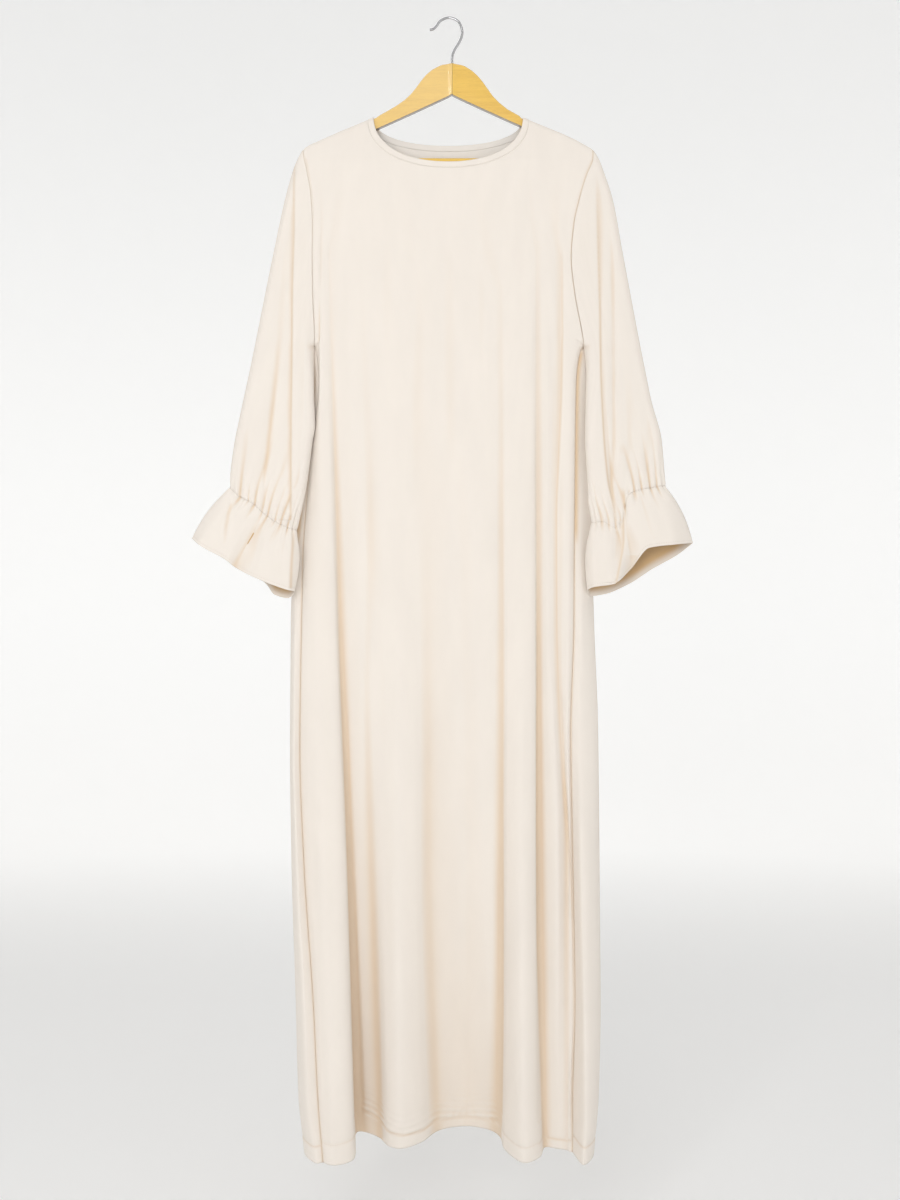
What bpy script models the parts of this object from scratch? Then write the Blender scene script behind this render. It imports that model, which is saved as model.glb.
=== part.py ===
"""Plain pullover abaya on a wooden coat hanger with a wire hook and a trouser bar.

Sizes are in millimetres until a mesh is made. x runs to the viewer's right, the front of the
garment faces -y, and z is up. The origin is the inside of the hook's crown, where it hangs.
Left and right are as seen from the front.
"""
import math

import bmesh
import bpy
import numpy as np

MM = 0.001

# Cloth
CLOTH = 1.5                 # wall of the crepe with its seam allowances
SEAM_GAP = 0.3              # between neighbouring pieces
NECK_BAND_WIDTH = 8.5
NECK_BAND_PROUD = 0.4       # how far the band stands out of the panels
NECK_BAND_THICKNESS = 2.2

# Heights of the main levels
SHOULDER_Z = -187.5         # top of the armhole seams
BAR_Z = -204.5              # axis of the trouser bar
CHEST_Z = -360.0
UNDERARM_Z = -461.5
HIP_Z = -851.0
KNEE_Z = -1178.0
HEM_Z = -1568.5             # lowest point of the hem, at the crest of the deepest flute
HEM_CREST_Y = -95.0         # depth of that crest
STATIONS = (CHEST_Z, HIP_Z, KNEE_Z, HEM_Z)

# Hanger
ARM_SWEEP = 16.0            # how far the arm ends come forward
ARM_REACH = 205.0           # half length on which the sweep is measured
ARM_HALF_THICKNESS = 5.2
ARM_CLEARANCE = 0.8         # between the wood and the cloth that lies on it
RIDGE_HALF_DEPTH = 8.5      # half depth of the cloth where it folds over an arm
RIDGE_ROUND = 9.0           # height of that fold
BAR_Y = -13.6
BAR_RADIUS = 5.5
CLOTH_AT_BAR_Y = -22.6      # front of the cloth where it hangs over the bar

# Neck opening, measured at its finished edge
NECK_CENTRE_X = -1.0
NECK_HALF_WIDTH = 104.0
NECK_FRONT_Z = -204.0
NECK_BACK_Z = -175.0
NECK_SQUARENESS = 2.2       # 2 is an ellipse, more is squarer
NECK_CORNER_POWER = 1.6     # crowds the columns where the neckline crosses the shoulders
NECK_FAN = 9.0              # how far the columns at those corners spread towards the armholes
NECK_FAN_DROP = 14.0        # below the shoulders, where they have spread that far
NECK_FAN_COLUMNS = 6        # columns round the neck that take part

# Outer ridge of the cloth along the shoulders: x, z, with the neck between the middle two
RIDGE_LEFT = ((-214, -196), (-203, -187.5), (-193, -180.5), (-152, -160.5), (-105, -139.5))
RIDGE_RIGHT = ((103, -139.5), (155, -162.5), (175, -172.5), (200, -187.5), (212, -196))

# Armhole seams: z, x left, x right
ARMHOLES = (
    (SHOULDER_Z, -203, 200), (-202, -200, 199), (-225, -195, 190), (-257, -190.5, 180.5),
    (-296, -189, 172.5), (-338, -189.5, 169.5), (-382, -189, 173.5), (-448, -186.5, 185.5),
    (UNDERARM_Z, -187, 187.5),
)
ARMHOLE_MID_Y = (-15.5, -12.0)      # middle of the sleeve's depth at the shoulder and the underarm
ARMHOLE_HALF_DEPTH = 8.5
UNDERARM_ROUND = 14.0               # height over which the armhole closes at the underarm

# Rows of the panels: drops below the shoulder point, then heights down the side seams
ARM_DROPS = (0, 1, 3.5, 9, 22, 50, 90, 135, 180, 220, 248, 262, 269.5, 273, 274)
SIDE_HEIGHTS = (-472, -495, -550, -640, -740, -851, -970, -1090, -1210, -1330, -1440, -1520, HEM_Z)

# Side seams and the lines beside them: the front's turn, the seam, then the crest and the outer
# edge of the fold that wraps round from the back: z, x and y of each
SIDE_LEFT = (
    (UNDERARM_Z, -182, -18.5, -187, -12, -183, -7.5, -177, -4),
    (-508, -179.5, -20, -181, -14, -188, -5, -183, 0),
    (-591, -186, -22, -190, -16, -202, -8, -199, 1),
    (-675, -191, -25, -198, -18, -211, -11, -209, 0),
    (-758, -194, -30, -203, -22, -214, -17, -216, -3),
    (-851, -194, -35, -204, -30, -213, -30, -220, -10),
    (-1006, -193, -46, -205, -40, -213, -44, -220, -18),
    (-1178, -187, -58.5, -198, -52, -207, -58, -217, -28),
    (-1357, -176, -75.5, -184, -70, -196, -76, -211, -40),
    (-1495, -168, -86, -176, -82, -189, -86, -206, -52),
    (HEM_Z, -162, -94, -169, -90, -177, -92, -196, -68),
)
SIDE_RIGHT = (
    (UNDERARM_Z, 182, -18.5, 187.5, -12, 184, -7.5, 178, -4),
    (-508, 170, -22, 178, -16, 188, -6, 187, 0),
    (-591, 168, -24, 176, -20, 186, -14, 192, -4),
    (-675, 167, -26, 175, -22, 185, -19, 195, -7),
    (-758, 166, -28, 174, -24, 184, -23, 198, -9),
    (-851, 165, -31, 173, -27, 184, -29, 202, -11),
    (-1006, 163, -36, 168, -33, 180, -39, 207, -20),
    (-1178, 166, -40, 170, -38, 181, -56, 208, -32),
    (-1357, 168, -50, 172, -50, 183, -73, 208, -45),
    (-1495, 164.5, -61, 168, -60, 184, -87, 204, -58),
    (HEM_Z, 163.5, -66, 167, -68, 180, -95, 196, -72),
)

# Fold lines of the front, left to right: name, x at the top edge (None round the neck), then
# x and y at chest, hip, knee and hem, and the number of columns up to the next line
FRONT_FOLDS = (
    ("flute_left_crest", -186, (-178, -20), (-180, -38), (-171, -66), (-152, -96), 2),
    ("flute_left_edge", -172, (-172, -20), (-157, -34), (-140, -57), (-129, -84), 3),
    ("valley_left", -146, (-166, -19), (-149, -25), (-137, -29), (-126, -22), 2),
    ("slope_left", -113.5, (-144, -20), (-123, -31), (-109, -33), (-96, -35), 1),
    ("flute_mid_left", None, (-126, -20), (-101, -32), (-91, -42), (-83, -54), 2),
    ("flute_mid_crest", None, (-107, -20), (-72, -34), (-70, -49), (-65, -60), 3),
    ("flute_mid_right", None, (-75, -20), (-50, -32), (-48, -44), (-38, -46), 2),
    ("recess_left", None, (-40, -20), (-26, -28), (-25, -31), (-14, -19), 3),
    ("recess_floor", None, (8, -20), (18, -28), (24, -27), (24, -9), 3),
    ("recess_right", None, (53, -20), (57, -30), (57, -30), (58, -19), 1),
    ("step_foot", None, (71, -19.5), (73, -28), (72, -32), (70, -33), 2),
    ("flute_right_left", None, (82, -20), (81, -32), (79, -45), (76, -62), 3),
    ("flute_right_crest", None, (98, -20), (101, -36), (98, -59), (101, -91), 3),
    ("flute_right_edge", None, (115, -20), (119, -32), (118, -51), (123, -78), 2),
    ("valley_right", None, (122, -19), (124, -26), (125, -36), (131, -57), 2),
    ("flat_right", 111.5, (139, -20), (138, -31), (149, -46), (147, -60), 2),
    ("valley_side", 152, (154, -19), (151, -27), (162, -37), (160, -63), 2),
)
FRONT_SIDE_COLUMNS = 1              # between a side seam, the front's turn and its first fold line
FRONT_TURN_TOP_STEP = 8.0           # how far in the front's turn starts from the armhole seam
FRONT_NECK_LINES = ("slope_left", "flat_right")

# Fold lines of the back, right to left, in the same columns
BACK_FOLDS = (
    ("turn_right", 111.5, (150, 0), (182, 10), (190, 6), (186, -20), 3),
    ("crest_1", None, (110, 5), (140, 25), (150, 33), (152, 28), 2),
    ("valley_1", None, (75, 8), (95, 13), (105, 14), (108, 8), 3),
    ("crest_2", None, (35, 9), (50, 26), (55, 37), (58, 35), 2),
    ("valley_2", None, (0, 10), (5, 15), (5, 17), (6, 11), 3),
    ("crest_3", None, (-40, 9), (-48, 26), (-55, 37), (-60, 35), 2),
    ("valley_3", None, (-78, 8), (-95, 13), (-105, 13), (-110, 7), 3),
    ("crest_4", None, (-112, 5), (-140, 23), (-152, 31), (-158, 25), 3),
    ("turn_left", -113.5, (-150, 0), (-192, 9), (-198, 3), (-188, -22), 4),
)
BACK_NECK_LINES = ("turn_right", "turn_left")
SIDE_WRAP_COLUMNS = (2, 2, 4)       # seam to crest, crest to edge, edge to the back's first line
SIDE_WRAP_TOP_STEPS = (5.0, 11.0)   # how far the wrap lines start from the armhole seam

# Hem: it rises where the cloth lies further back
HEM_RISE = 0.253
HEM_RISE_BACK_LIMIT = -5.0

# Sleeves: z, x outer edge, x inner edge below the underarm, middle y, half depth
SLEEVE_LEFT = (
    (SHOULDER_Z, -203, -203, -15.5, 8.5), (-202, -211, -200, -15.3, 8.5),
    (-211, -215, -197, -15.2, 8.5), (-257, -228, -190, -14.7, 8.5), (-327, -243, -189, -13.8, 8.5),
    (-396, -257, -188, -12.9, 8.5), (UNDERARM_Z, -270, -187, -12, 8.5),
    (-500, -277.5, -187, -16, 9.5), (-537, -285, -186.5, -21, 11), (-573, -292, -185, -26, 12),
    (-593, -296, -188, -28.5, 12), (-649, -302, -194, -36, 12), (-676, -303, -198, -38.5, 11.5),
    (-717, -303, -208, -42, 11),
)
SLEEVE_RIGHT = (
    (SHOULDER_Z, 200, 200, -15.5, 8.5), (-202, 209, 199, -15.3, 8.5),
    (-216, 214.5, 195, -15.2, 8.5), (-257, 228, 180, -14.7, 8.5), (-327, 241, 170, -13.8, 8.5),
    (-396, 254, 176, -12.9, 8.5), (UNDERARM_Z, 266.5, 187.5, -12, 8.5),
    (-500, 274, 190.5, -15, 9.5), (-536, 281, 189.5, -19, 11), (-592, 295, 188, -25.5, 12),
    (-648, 299, 190, -31, 12), (-676, 302, 190.5, -33, 11.5), (-707, 302, 195, -35, 11),
    (-720, 302, 195, -36, 11),
)
# Where a height of the armhole seam ends up across the sleeve: drop, place from the outer edge
ARMHOLE_PLACES = ((0, 0), (3.5, 0.035), (9, 0.085), (22, 0.18), (50, 0.34), (90, 0.52), (140, 0.67),
                  (208, 0.84), (248, 0.945), (262, 0.975), (274, 1))
# Elastic at the wrist, from the outer edge (0) to the inner edge (1): place, drop
WRIST_Z = {-1: -658.0, 1: -655.0}
WRIST_DROPS = {
    -1: ((0, 0), (0.17, 14), (0.32, 22), (0.49, 36), (0.68, 48), (0.9, 57), (1, 59)),
    1: ((0, 0), (0.17, 3), (0.37, 7), (0.5, 14), (0.6, 48), (0.7, 59), (0.85, 50), (1, 52)),
}
SLEEVE_ROWS = (0, 0.03, 0.09, 0.18, 0.28, 0.39, 0.5, 0.61, 0.71)
SLEEVE_GATHER_ROWS = (0.79, 0.86, 0.92, 0.965, 1)
SLEEVE_EDGE_ROUND = 12.0

# Bands that a panel and a sleeve are cut into across, and the height or the row where each ends.
# They meet edge to edge, and keep the solids short enough for collision to follow the folds.
PANEL_BANDS = (("bodice", -550), ("skirt_upper", -1090), ("skirt_lower", HEM_Z))
SLEEVE_BANDS = {
    "left": (("upper", 0.5), ("middle", 0.71), ("lower", 1)),
    "right": (("upper", 0.5), ("lower", 1))}

# Gathers of the elastic
GATHER_COLUMNS = 4                  # columns in each gather
GATHER_DEPTHS = (2.6, 1.7, 2.3, 1.5, 2.8, 2.0, 1.6)

# Cuff flounces' hems, round from the outer edge (0) by the front to the inner edge (1) and
# back (2): place, x, y, z
FLOUNCE_LEFT = (
    (0, -353, -42, -729), (0.12, -340, -55, -739), (0.38, -304, -59, -759), (0.5, -292, -50, -769),
    (0.8, -250, -63, -789), (0.93, -219, -59, -800), (1, -211, -46, -802), (1.15, -230, -33, -809),
    (1.4, -268, -27, -797), (1.65, -310, -25, -769), (1.88, -344, -31, -740),
)
FLOUNCE_RIGHT = (
    (0, 336, -36, -735), (0.2, 306, -53, -738), (0.42, 274, -50, -742), (0.58, 250, -37, -771),
    (0.8, 224, -49, -792), (0.95, 198, -42, -796), (1, 191, -30, -800), (1.06, 197, -19, -808),
    (1.25, 218, -12, -805), (1.45, 251, -11, -791), (1.65, 282, -12, -771), (1.85, 320, -17, -749),
)
FLOUNCE_ROWS = (0, 0.2, 0.55, 1)
FLOUNCE_SWELL = 5.0

# Hanger arms, half outline from the middle: distance, z of the top
ARM_MIDDLE_X = 4.0
ARM_TOP = ((0, -62.8), (15, -65), (28, -72.5), (39, -82.5), (47, -93.5), (55, -105), (64, -114.5),
           (76, -123.5), (92, -132), (104, -138.5))
ARM_VERTEX_Z = -107.0               # lower edge at the middle
ARM_LOWER_SLOPE = 0.47
EAR_X = 188.0                       # inner faces of the ears that hold the bar
EAR_Z = -214.0
ARM_END_X = 201.5
# Sections of the arms, from the middle outwards: in the neck, under the cloth, and at the ears
ARM_NECK_SECTIONS = (0, 9, 18, 28, 36, 43, 50, 57, 66, 78, 91)
ARM_CLOTH_SECTIONS = (98, 101.2, 112, 126, 140, 153, 164, 175, EAR_X)
ARM_EAR_SECTIONS = ((EAR_X + 0.6, 0.3), (EAR_X + 6, 0.6), (ARM_END_X - 3, 1.5), (ARM_END_X, 5))
ARM_ARC_STEPS = 4

# Hook wire
WIRE_RADIUS = 1.75
STEM_X = 4.6
STEM_BOTTOM_Z = -83.0
STEM_BORE = 24.0                    # depth of the hole that takes the stem
HOOK_PATH = ((-27, -15.2), (-21.5, -14), (-17.2, -9.6), (-12.3, -3), (0, 1.75), (12.9, -3.4),
             (18.5, -16.8), (17.3, -26), (13, -35), (7.8, -43.5), (STEM_X, -53), (STEM_X, -68),
             (STEM_X, STEM_BOTTOM_Z))
HOOK_STEPS = 3                      # wire segments between two points of the path
ROUND_SEGMENTS = 16


def ease(t):
    t = min(max(t, 0.0), 1.0)
    return t * t * (3.0 - 2.0 * t)


def round_off(t):
    """Height of a quarter circle of radius 1 at a distance t from its foot."""
    t = min(max(t, 0.0), 1.0)
    return math.sqrt(1.0 - (1.0 - t) ** 2)


def table_at(rows, key, column):
    """Value of a table's column at a key in its first column, on a smooth curve."""
    keys = [row[0] for row in rows]
    values = [float(row[column]) for row in rows]
    if keys[0] > keys[-1]:
        keys = keys[::-1]
        values = values[::-1]
    key = min(max(key, keys[0]), keys[-1])
    i = min(max(int(np.searchsorted(keys, key)) - 1, 0), len(keys) - 2)
    steps = np.diff(keys)
    rises = np.diff(values) / steps
    slopes = [rises[0]]
    for k in range(1, len(keys) - 1):
        same_way = rises[k - 1] * rises[k] > 0
        slopes.append(2 * rises[k - 1] * rises[k] / (rises[k - 1] + rises[k]) if same_way else 0.0)
    slopes.append(rises[-1])
    t = (key - keys[i]) / steps[i]
    straight = values[i] + (values[i + 1] - values[i]) * t
    bend = t * (1 - t) * ((slopes[i] - rises[i]) * (1 - t) - (slopes[i + 1] - rises[i]) * t)
    return straight + bend * steps[i]


def curve_points(points, counts):
    """Points on a centripetal Catmull-Rom curve between its second and its last but one point."""
    points = [np.array(p, float) for p in points]
    result = []
    for k, count in enumerate(counts):
        p0, p1, p2, p3 = points[k:k + 4]
        knots = [0.0]
        for a, b in ((p0, p1), (p1, p2), (p2, p3)):
            knots.append(knots[-1] + max(np.linalg.norm(b - a), 1e-6) ** 0.5)
        t0, t1, t2, t3 = knots
        for step in range(count):
            t = t1 + (t2 - t1) * step / count
            a1 = ((t1 - t) * p0 + (t - t0) * p1) / (t1 - t0)
            a2 = ((t2 - t) * p1 + (t - t1) * p2) / (t2 - t1)
            a3 = ((t3 - t) * p2 + (t - t2) * p3) / (t3 - t2)
            b1 = ((t2 - t) * a1 + (t - t0) * a2) / (t2 - t0)
            b2 = ((t3 - t) * a2 + (t - t1) * a3) / (t3 - t1)
            result.append(((t2 - t) * b1 + (t - t1) * b2) / (t2 - t1))
    result.append(points[-2])
    return np.array(result)


# The cloth over the hanger

def ridge_z(x):
    (left_x, left_z), (right_x, _) = RIDGE_LEFT[-1], RIDGE_RIGHT[0]
    if left_x < x < right_x:
        return left_z + ARM_LOWER_SLOPE * min(x - left_x, right_x - x)
    return float(np.interp(x, *zip(*(RIDGE_LEFT + RIDGE_RIGHT))))


def ridge_y(x):
    return -ARM_SWEEP * (x / ARM_REACH) ** 2


def front_top_y(x, z):
    """Depth of the front between the shoulders and the trouser bar."""
    ridge = ridge_z(x)
    face = ridge_y(x) - RIDGE_HALF_DEPTH
    lean = (ridge - RIDGE_ROUND - z) / max(ridge - RIDGE_ROUND - BAR_Z, 1.0)
    lean = min(max(lean, 0.0), 1.0)
    y = ridge_y(x) - RIDGE_HALF_DEPTH * round_off((ridge - z) / RIDGE_ROUND)
    return y + (CLOTH_AT_BAR_Y - face) * lean


def back_top_y(x, z):
    return ridge_y(x) + RIDGE_HALF_DEPTH * round_off((ridge_z(x) - z) / RIDGE_ROUND)


def neck_point(angle, widening, centre_z, depth_at):
    """A point of the neckline, from the left shoulder (-90 degrees) to the right one (90)."""
    power = 2.0 / NECK_SQUARENESS
    side = math.copysign(1.0, angle)
    half = NECK_HALF_WIDTH + widening
    x = NECK_CENTRE_X + side * half * abs(math.sin(math.radians(angle))) ** power
    corner_z = ridge_z(NECK_CENTRE_X + side * half)
    drop = max(math.cos(math.radians(angle)), 0.0) ** power
    z = corner_z - (corner_z - centre_z + widening) * drop
    return np.array((x, depth_at(x, z), z))


def neck_angles(columns):
    """Angles of the columns round half the neck, closer together where it crosses the shoulders."""
    places = [2.0 * k / columns - 1.0 for k in range(columns + 1)]
    return [math.copysign(90.0 * (1.0 - (1.0 - abs(t)) ** NECK_CORNER_POWER), t) for t in places]


# Armholes

def armhole_point(side, z, face, shut=None):
    """Point of an armhole seam. side is -1 left or 1 right, and face is -1 front or 1 back."""
    x = table_at(ARMHOLES, z, 1 if side < 0 else 2)
    share = (SHOULDER_Z - z) / (SHOULDER_Z - UNDERARM_Z)
    mid = ARMHOLE_MID_Y[0] + (ARMHOLE_MID_Y[1] - ARMHOLE_MID_Y[0]) * share
    half = ARMHOLE_HALF_DEPTH * round_off((SHOULDER_Z - z) / RIDGE_ROUND)
    half *= 1.0 - (closing(z) if shut is None else shut)
    return np.array((x, mid + face * half, z))


def closing(z):
    """How far the armhole has closed: 0 above the underarm's curve, 1 at the underarm."""
    if z <= UNDERARM_Z:
        return 1.0
    return 1.0 - round_off((z - UNDERARM_Z) / UNDERARM_ROUND)


# Front and back panels

def fold_at(fold, z):
    """x and y of a fold line at a height from the chest down."""
    rows_x = [(level, fold[2 + k][0]) for k, level in enumerate(STATIONS)]
    rows_y = [(level, fold[2 + k][1]) for k, level in enumerate(STATIONS)]
    return table_at(rows_x, z, 1), table_at(rows_y, z, 1)


def side_lines(side, z):
    """Front's turn, front seam, back seam, crest and edge of the fold at a side."""
    table = SIDE_LEFT if side < 0 else SIDE_RIGHT
    turn, seam, crest, edge = (np.array((table_at(table, z, k), table_at(table, z, k + 1)))
                               for k in (1, 3, 5, 7))
    if z < UNDERARM_Z:
        return turn, seam, seam, crest, edge
    seam_f = armhole_point(side, z, -1)[:2]
    seam_b = armhole_point(side, z, 1)[:2]
    lines = []
    for face, step, below in ((-1, FRONT_TURN_TOP_STEP, turn), (1, SIDE_WRAP_TOP_STEPS[0], crest),
                              (1, SIDE_WRAP_TOP_STEPS[1], edge)):
        start = armhole_point(side, z, face, shut=0.0)[:2] - np.array((side * step, 0.0))
        lines.append(start + (below - start) * closing(z))
    return lines[0], seam_f, seam_b, lines[1], lines[2]


def ring_at(z):
    """Control points of the body at a height: the front's and the back's, both with their seams."""
    left = side_lines(-1, z)
    right = side_lines(1, z)
    front = [np.array(fold_at(fold, z)) for fold in FRONT_FOLDS]
    back = [np.array(fold_at(fold, z)) for fold in BACK_FOLDS]
    front = [left[1], left[0]] + front + [right[0], right[1]]
    back = [right[2], right[3], right[4]] + back + [left[4], left[3], left[2]]
    return front, back


def with_ends(line, before, after, share):
    """A line with an extra control point at each end, straight on where the seam is still open."""
    first = 2 * line[0] - line[1]
    last = 2 * line[-1] - line[-2]
    return [first + (before - first) * share] + line + [last + (after - last) * share]


def neck_corners(folds, counts, lead, neck_lines):
    """Columns on which the neckline starts and ends, where lead lines stand before the first fold."""
    names = [fold[0] for fold in folds]
    return tuple(sum(counts[:names.index(name) + lead]) for name in neck_lines)


def top_edge(folds, counts, lead, side_tops, neck_lines, centre_z, depth_at):
    """Top boundary of a panel: shoulder, neckline, shoulder, as a point for each column."""
    first, last = neck_corners(folds, counts, lead, neck_lines)
    angles = neck_angles(last - first)
    if side_tops[0] > 0:
        angles = angles[::-1]
    tops = list(side_tops[:lead]) + [fold[1] for fold in folds] + list(side_tops[lead:])
    known = [(sum(counts[:k]), x) for k, x in enumerate(tops) if x is not None]
    points = []
    for column in range(sum(counts) + 1):
        if first <= column <= last:
            points.append(neck_point(angles[column - first], NECK_BAND_WIDTH, centre_z, depth_at))
            continue
        x = float(np.interp(column, *zip(*known)))
        points.append(np.array((x, ridge_y(x), ridge_z(x))))
    return np.array(points)


def panel_rows():
    return [SHOULDER_Z - drop for drop in ARM_DROPS] + list(SIDE_HEIGHTS)


def hem_height(y):
    return HEM_Z + HEM_RISE * (min(y, HEM_RISE_BACK_LIMIT) - HEM_CREST_Y)


def body_panels():
    """Grids of the outer faces of the front and of the back: rows down, columns round."""
    front_counts = [FRONT_SIDE_COLUMNS] * 2 + [fold[-1] for fold in FRONT_FOLDS]
    front_counts.append(FRONT_SIDE_COLUMNS)
    back_counts = (list(SIDE_WRAP_COLUMNS) + [fold[-1] for fold in BACK_FOLDS]
                   + list(SIDE_WRAP_COLUMNS[1::-1]))
    _, left_x, right_x = ARMHOLES[0]
    step_1, step_2 = SIDE_WRAP_TOP_STEPS
    tops_front = (left_x, left_x + FRONT_TURN_TOP_STEP, right_x - FRONT_TURN_TOP_STEP, right_x)
    tops_back = (right_x, right_x - step_1, right_x - step_2, left_x + step_2, left_x + step_1, left_x)
    top_f = top_edge(FRONT_FOLDS, front_counts, 2, tops_front, FRONT_NECK_LINES, NECK_FRONT_Z,
                     front_top_y)
    top_b = top_edge(BACK_FOLDS, back_counts, 3, tops_back, BACK_NECK_LINES, NECK_BACK_Z,
                     back_top_y)
    corners = (neck_corners(FRONT_FOLDS, front_counts, 2, FRONT_NECK_LINES),
               neck_corners(BACK_FOLDS, back_counts, 3, BACK_NECK_LINES))
    rows = panel_rows()
    rings = {}
    for z in rows + [CHEST_Z]:
        front, back = ring_at(z)
        share = closing(z)
        line_f = with_ends(front, back[-2], back[1], share)
        line_b = with_ends(back, front[-2], front[1], share)
        rings[z] = (curve_points(line_f, front_counts), curve_points(line_b, back_counts))
    grids = []
    for k, (top, depth_at, face) in enumerate(((top_f, front_top_y, -1), (top_b, back_top_y, 1))):
        hem = np.array([hem_height(p[1]) for p in rings[HEM_Z][k]])
        chest = rings[CHEST_Z][k]
        grid = []
        for z in rows:
            share = (SHOULDER_Z - z) / (SHOULDER_Z - HEM_Z)
            heights = top[:, 2] + (hem - top[:, 2]) * share
            if z < CHEST_Z:
                line = rings[z][k]
            else:
                line = upper_row(z, top, chest, heights, depth_at, face, corners[k])
            grid.append(np.column_stack((line, heights)))
        grids.append(np.array(grid))
    front, back = grids
    for r, z in enumerate(rows):
        if z >= UNDERARM_Z:
            for grid, face, left, right in ((front, -1, 0, -1), (back, 1, -1, 0)):
                grid[r, left] = armhole_point(-1, z, face)
                grid[r, right] = armhole_point(1, z, face)
        else:
            for column_f, column_b in ((0, -1), (-1, 0)):
                back[r, column_b] = front[r, column_f]
    return front, back, (front_counts, back_counts)


def upper_row(z, top, chest, heights, depth_at, face, corners):
    """x and y of a panel's row between the shoulder and the chest."""
    share = (SHOULDER_Z - z) / (SHOULDER_Z - CHEST_Z)
    start, end = corners
    left = armhole_point(-1, z, face)[0]
    right = armhole_point(1, z, face)[0]
    x = top[:, 0] + (chest[:, 0] - top[:, 0]) * share
    first, last = (x[0], x[-1]) if face < 0 else (x[-1], x[0])
    place = (x - first) / (last - first)
    x = x + (left - first) * (1 - place) ** 2 + (right - last) * place ** 2
    spread = NECK_FAN * min((SHOULDER_Z - z) / NECK_FAN_DROP, 1.0) * ease(1 - share)
    turns = (0, start, start + NECK_FAN_COLUMNS, end - NECK_FAN_COLUMNS, end, len(x) - 1)
    x = x - face * spread * np.interp(range(len(x)), turns, (0, -1, 0, 0, 1, 0))
    y = []
    for k, height in enumerate(heights):
        settled = ease((BAR_Z - height) / (BAR_Z - CHEST_Z))
        y.append(depth_at(x[k], height) * (1 - settled) + chest[k, 1] * settled)
    return np.column_stack((x, y))


# Sleeves

def sleeve_rows(side, front, back):
    """Rings of a sleeve's outer face, from the armhole to the elastic, anticlockwise from above."""
    count = len(ARM_DROPS) - 1
    places = [table_at(ARMHOLE_PLACES, drop, 1) for drop in ARM_DROPS]
    outward_half = [(k, 1) for k in range(count, 0, -1)]
    columns = [(k, -1) for k in range(count)] + outward_half
    if side > 0:
        columns = [(k, -face) for k, face in outward_half] + [(k, 1) for k in range(count)]
    seam_f, seam_b = (0, -1) if side < 0 else (-1, 0)
    rings = [np.array([front[k, seam_f] if face < 0 else back[k, seam_b] for k, face in columns])]
    for t in SLEEVE_ROWS[1:]:
        rings.append(np.array([sleeve_point(side, places[k], face, t) for k, face in columns]))
    for t in SLEEVE_GATHER_ROWS:
        evening = ease((t - SLEEVE_ROWS[-1]) / (1 - SLEEVE_ROWS[-1]))
        ring = []
        for c in range(2 * len(columns)):
            k, face = columns[c // 2]
            following = columns[(c // 2 + 1) % len(columns)][0]
            place = places[k] if c % 2 == 0 else 0.5 * (places[k] + places[following])
            turn = c / len(columns)
            even = abs(1 - turn) if side > 0 else 1 - abs(1 - turn)
            ring.append(sleeve_point(side, place + (even - place) * evening, face, t))
        rings.append(gathered(np.array(ring), evening))
    return rings


def sleeve_point(side, place, face, t):
    """Point of a sleeve. place is 0 at the outer edge and 1 at the inner edge under the arm."""
    table = SLEEVE_LEFT if side < 0 else SLEEVE_RIGHT
    drops, places = zip(*ARMHOLE_PLACES)
    start = SHOULDER_Z - float(np.interp(place, places, drops))
    bottom = WRIST_Z[side] - table_at(WRIST_DROPS[side], place, 1)
    z = start + (bottom - start) * t
    outer, inner, mid, half = (table_at(table, z, k) for k in (1, 2, 3, 4))
    if z > UNDERARM_Z:
        inner = table_at(ARMHOLES, z, 1 if side < 0 else 2)
    width = abs(inner - outer)
    offset = width * place / max(table_at(ARMHOLE_PLACES, SHOULDER_Z - z, 1), 1e-6)
    drop_share = min((SHOULDER_Z - z) / RIDGE_ROUND, 1.0)
    outer_round = width / max(drop_share, 1e-6) if drop_share < 1 else min(width, SLEEVE_EDGE_ROUND)
    depth = round_off(offset / max(outer_round, 1e-6))
    shut = 1 - (1 - closing(z)) ** 2
    from_inner = min(max(width - offset, 0.0) / SLEEVE_EDGE_ROUND, 1.0)
    depth *= math.sqrt(max(1 - shut * (1 - from_inner) ** 2, 0.0))
    return np.array((outer - side * offset, mid + face * half * depth, z))


def ring_outward(ring):
    """Outward directions round a ring, level, for a ring that runs anticlockwise from above."""
    along = np.roll(ring, -1, axis=0) - np.roll(ring, 1, axis=0)
    outward = np.column_stack((along[:, 1], -along[:, 0], np.zeros(len(ring))))
    return outward / np.maximum(np.linalg.norm(outward, axis=1), 1e-9)[:, None]


def gathered(ring, amount):
    """A ring pushed in and out by the gathers of the elastic."""
    outward = ring_outward(ring)
    waves = []
    for c in range(len(ring)):
        depth = GATHER_DEPTHS[(c // GATHER_COLUMNS) % len(GATHER_DEPTHS)]
        waves.append(-depth * 0.5 * (1 - math.cos(2 * math.pi * c / GATHER_COLUMNS)))
    return ring + outward * (np.array(waves) * amount)[:, None]


# Cuff flounces

def flounce_rows(side, wrist):
    """Rings of a flounce from the elastic to its hem, on the columns of the sleeve's last ring."""
    table = FLOUNCE_LEFT if side < 0 else FLOUNCE_RIGHT
    closed = [tuple(row) for row in table] + [(2,) + tuple(table[0][1:])]
    count = len(wrist)
    hem = []
    for c in range(count):
        turn = 2.0 * c / count
        place = turn if side < 0 else (3.0 - turn) % 2.0
        hem.append([table_at(closed, place, k) for k in (1, 2, 3)])
    hem = np.array(hem)
    outward = ring_outward(hem)
    rings = []
    for t in FLOUNCE_ROWS:
        swell = FLOUNCE_SWELL * math.sin(math.pi * t)
        rings.append(wrist + (hem - wrist) * t + outward * swell)
    return rings


# Walls

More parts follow.
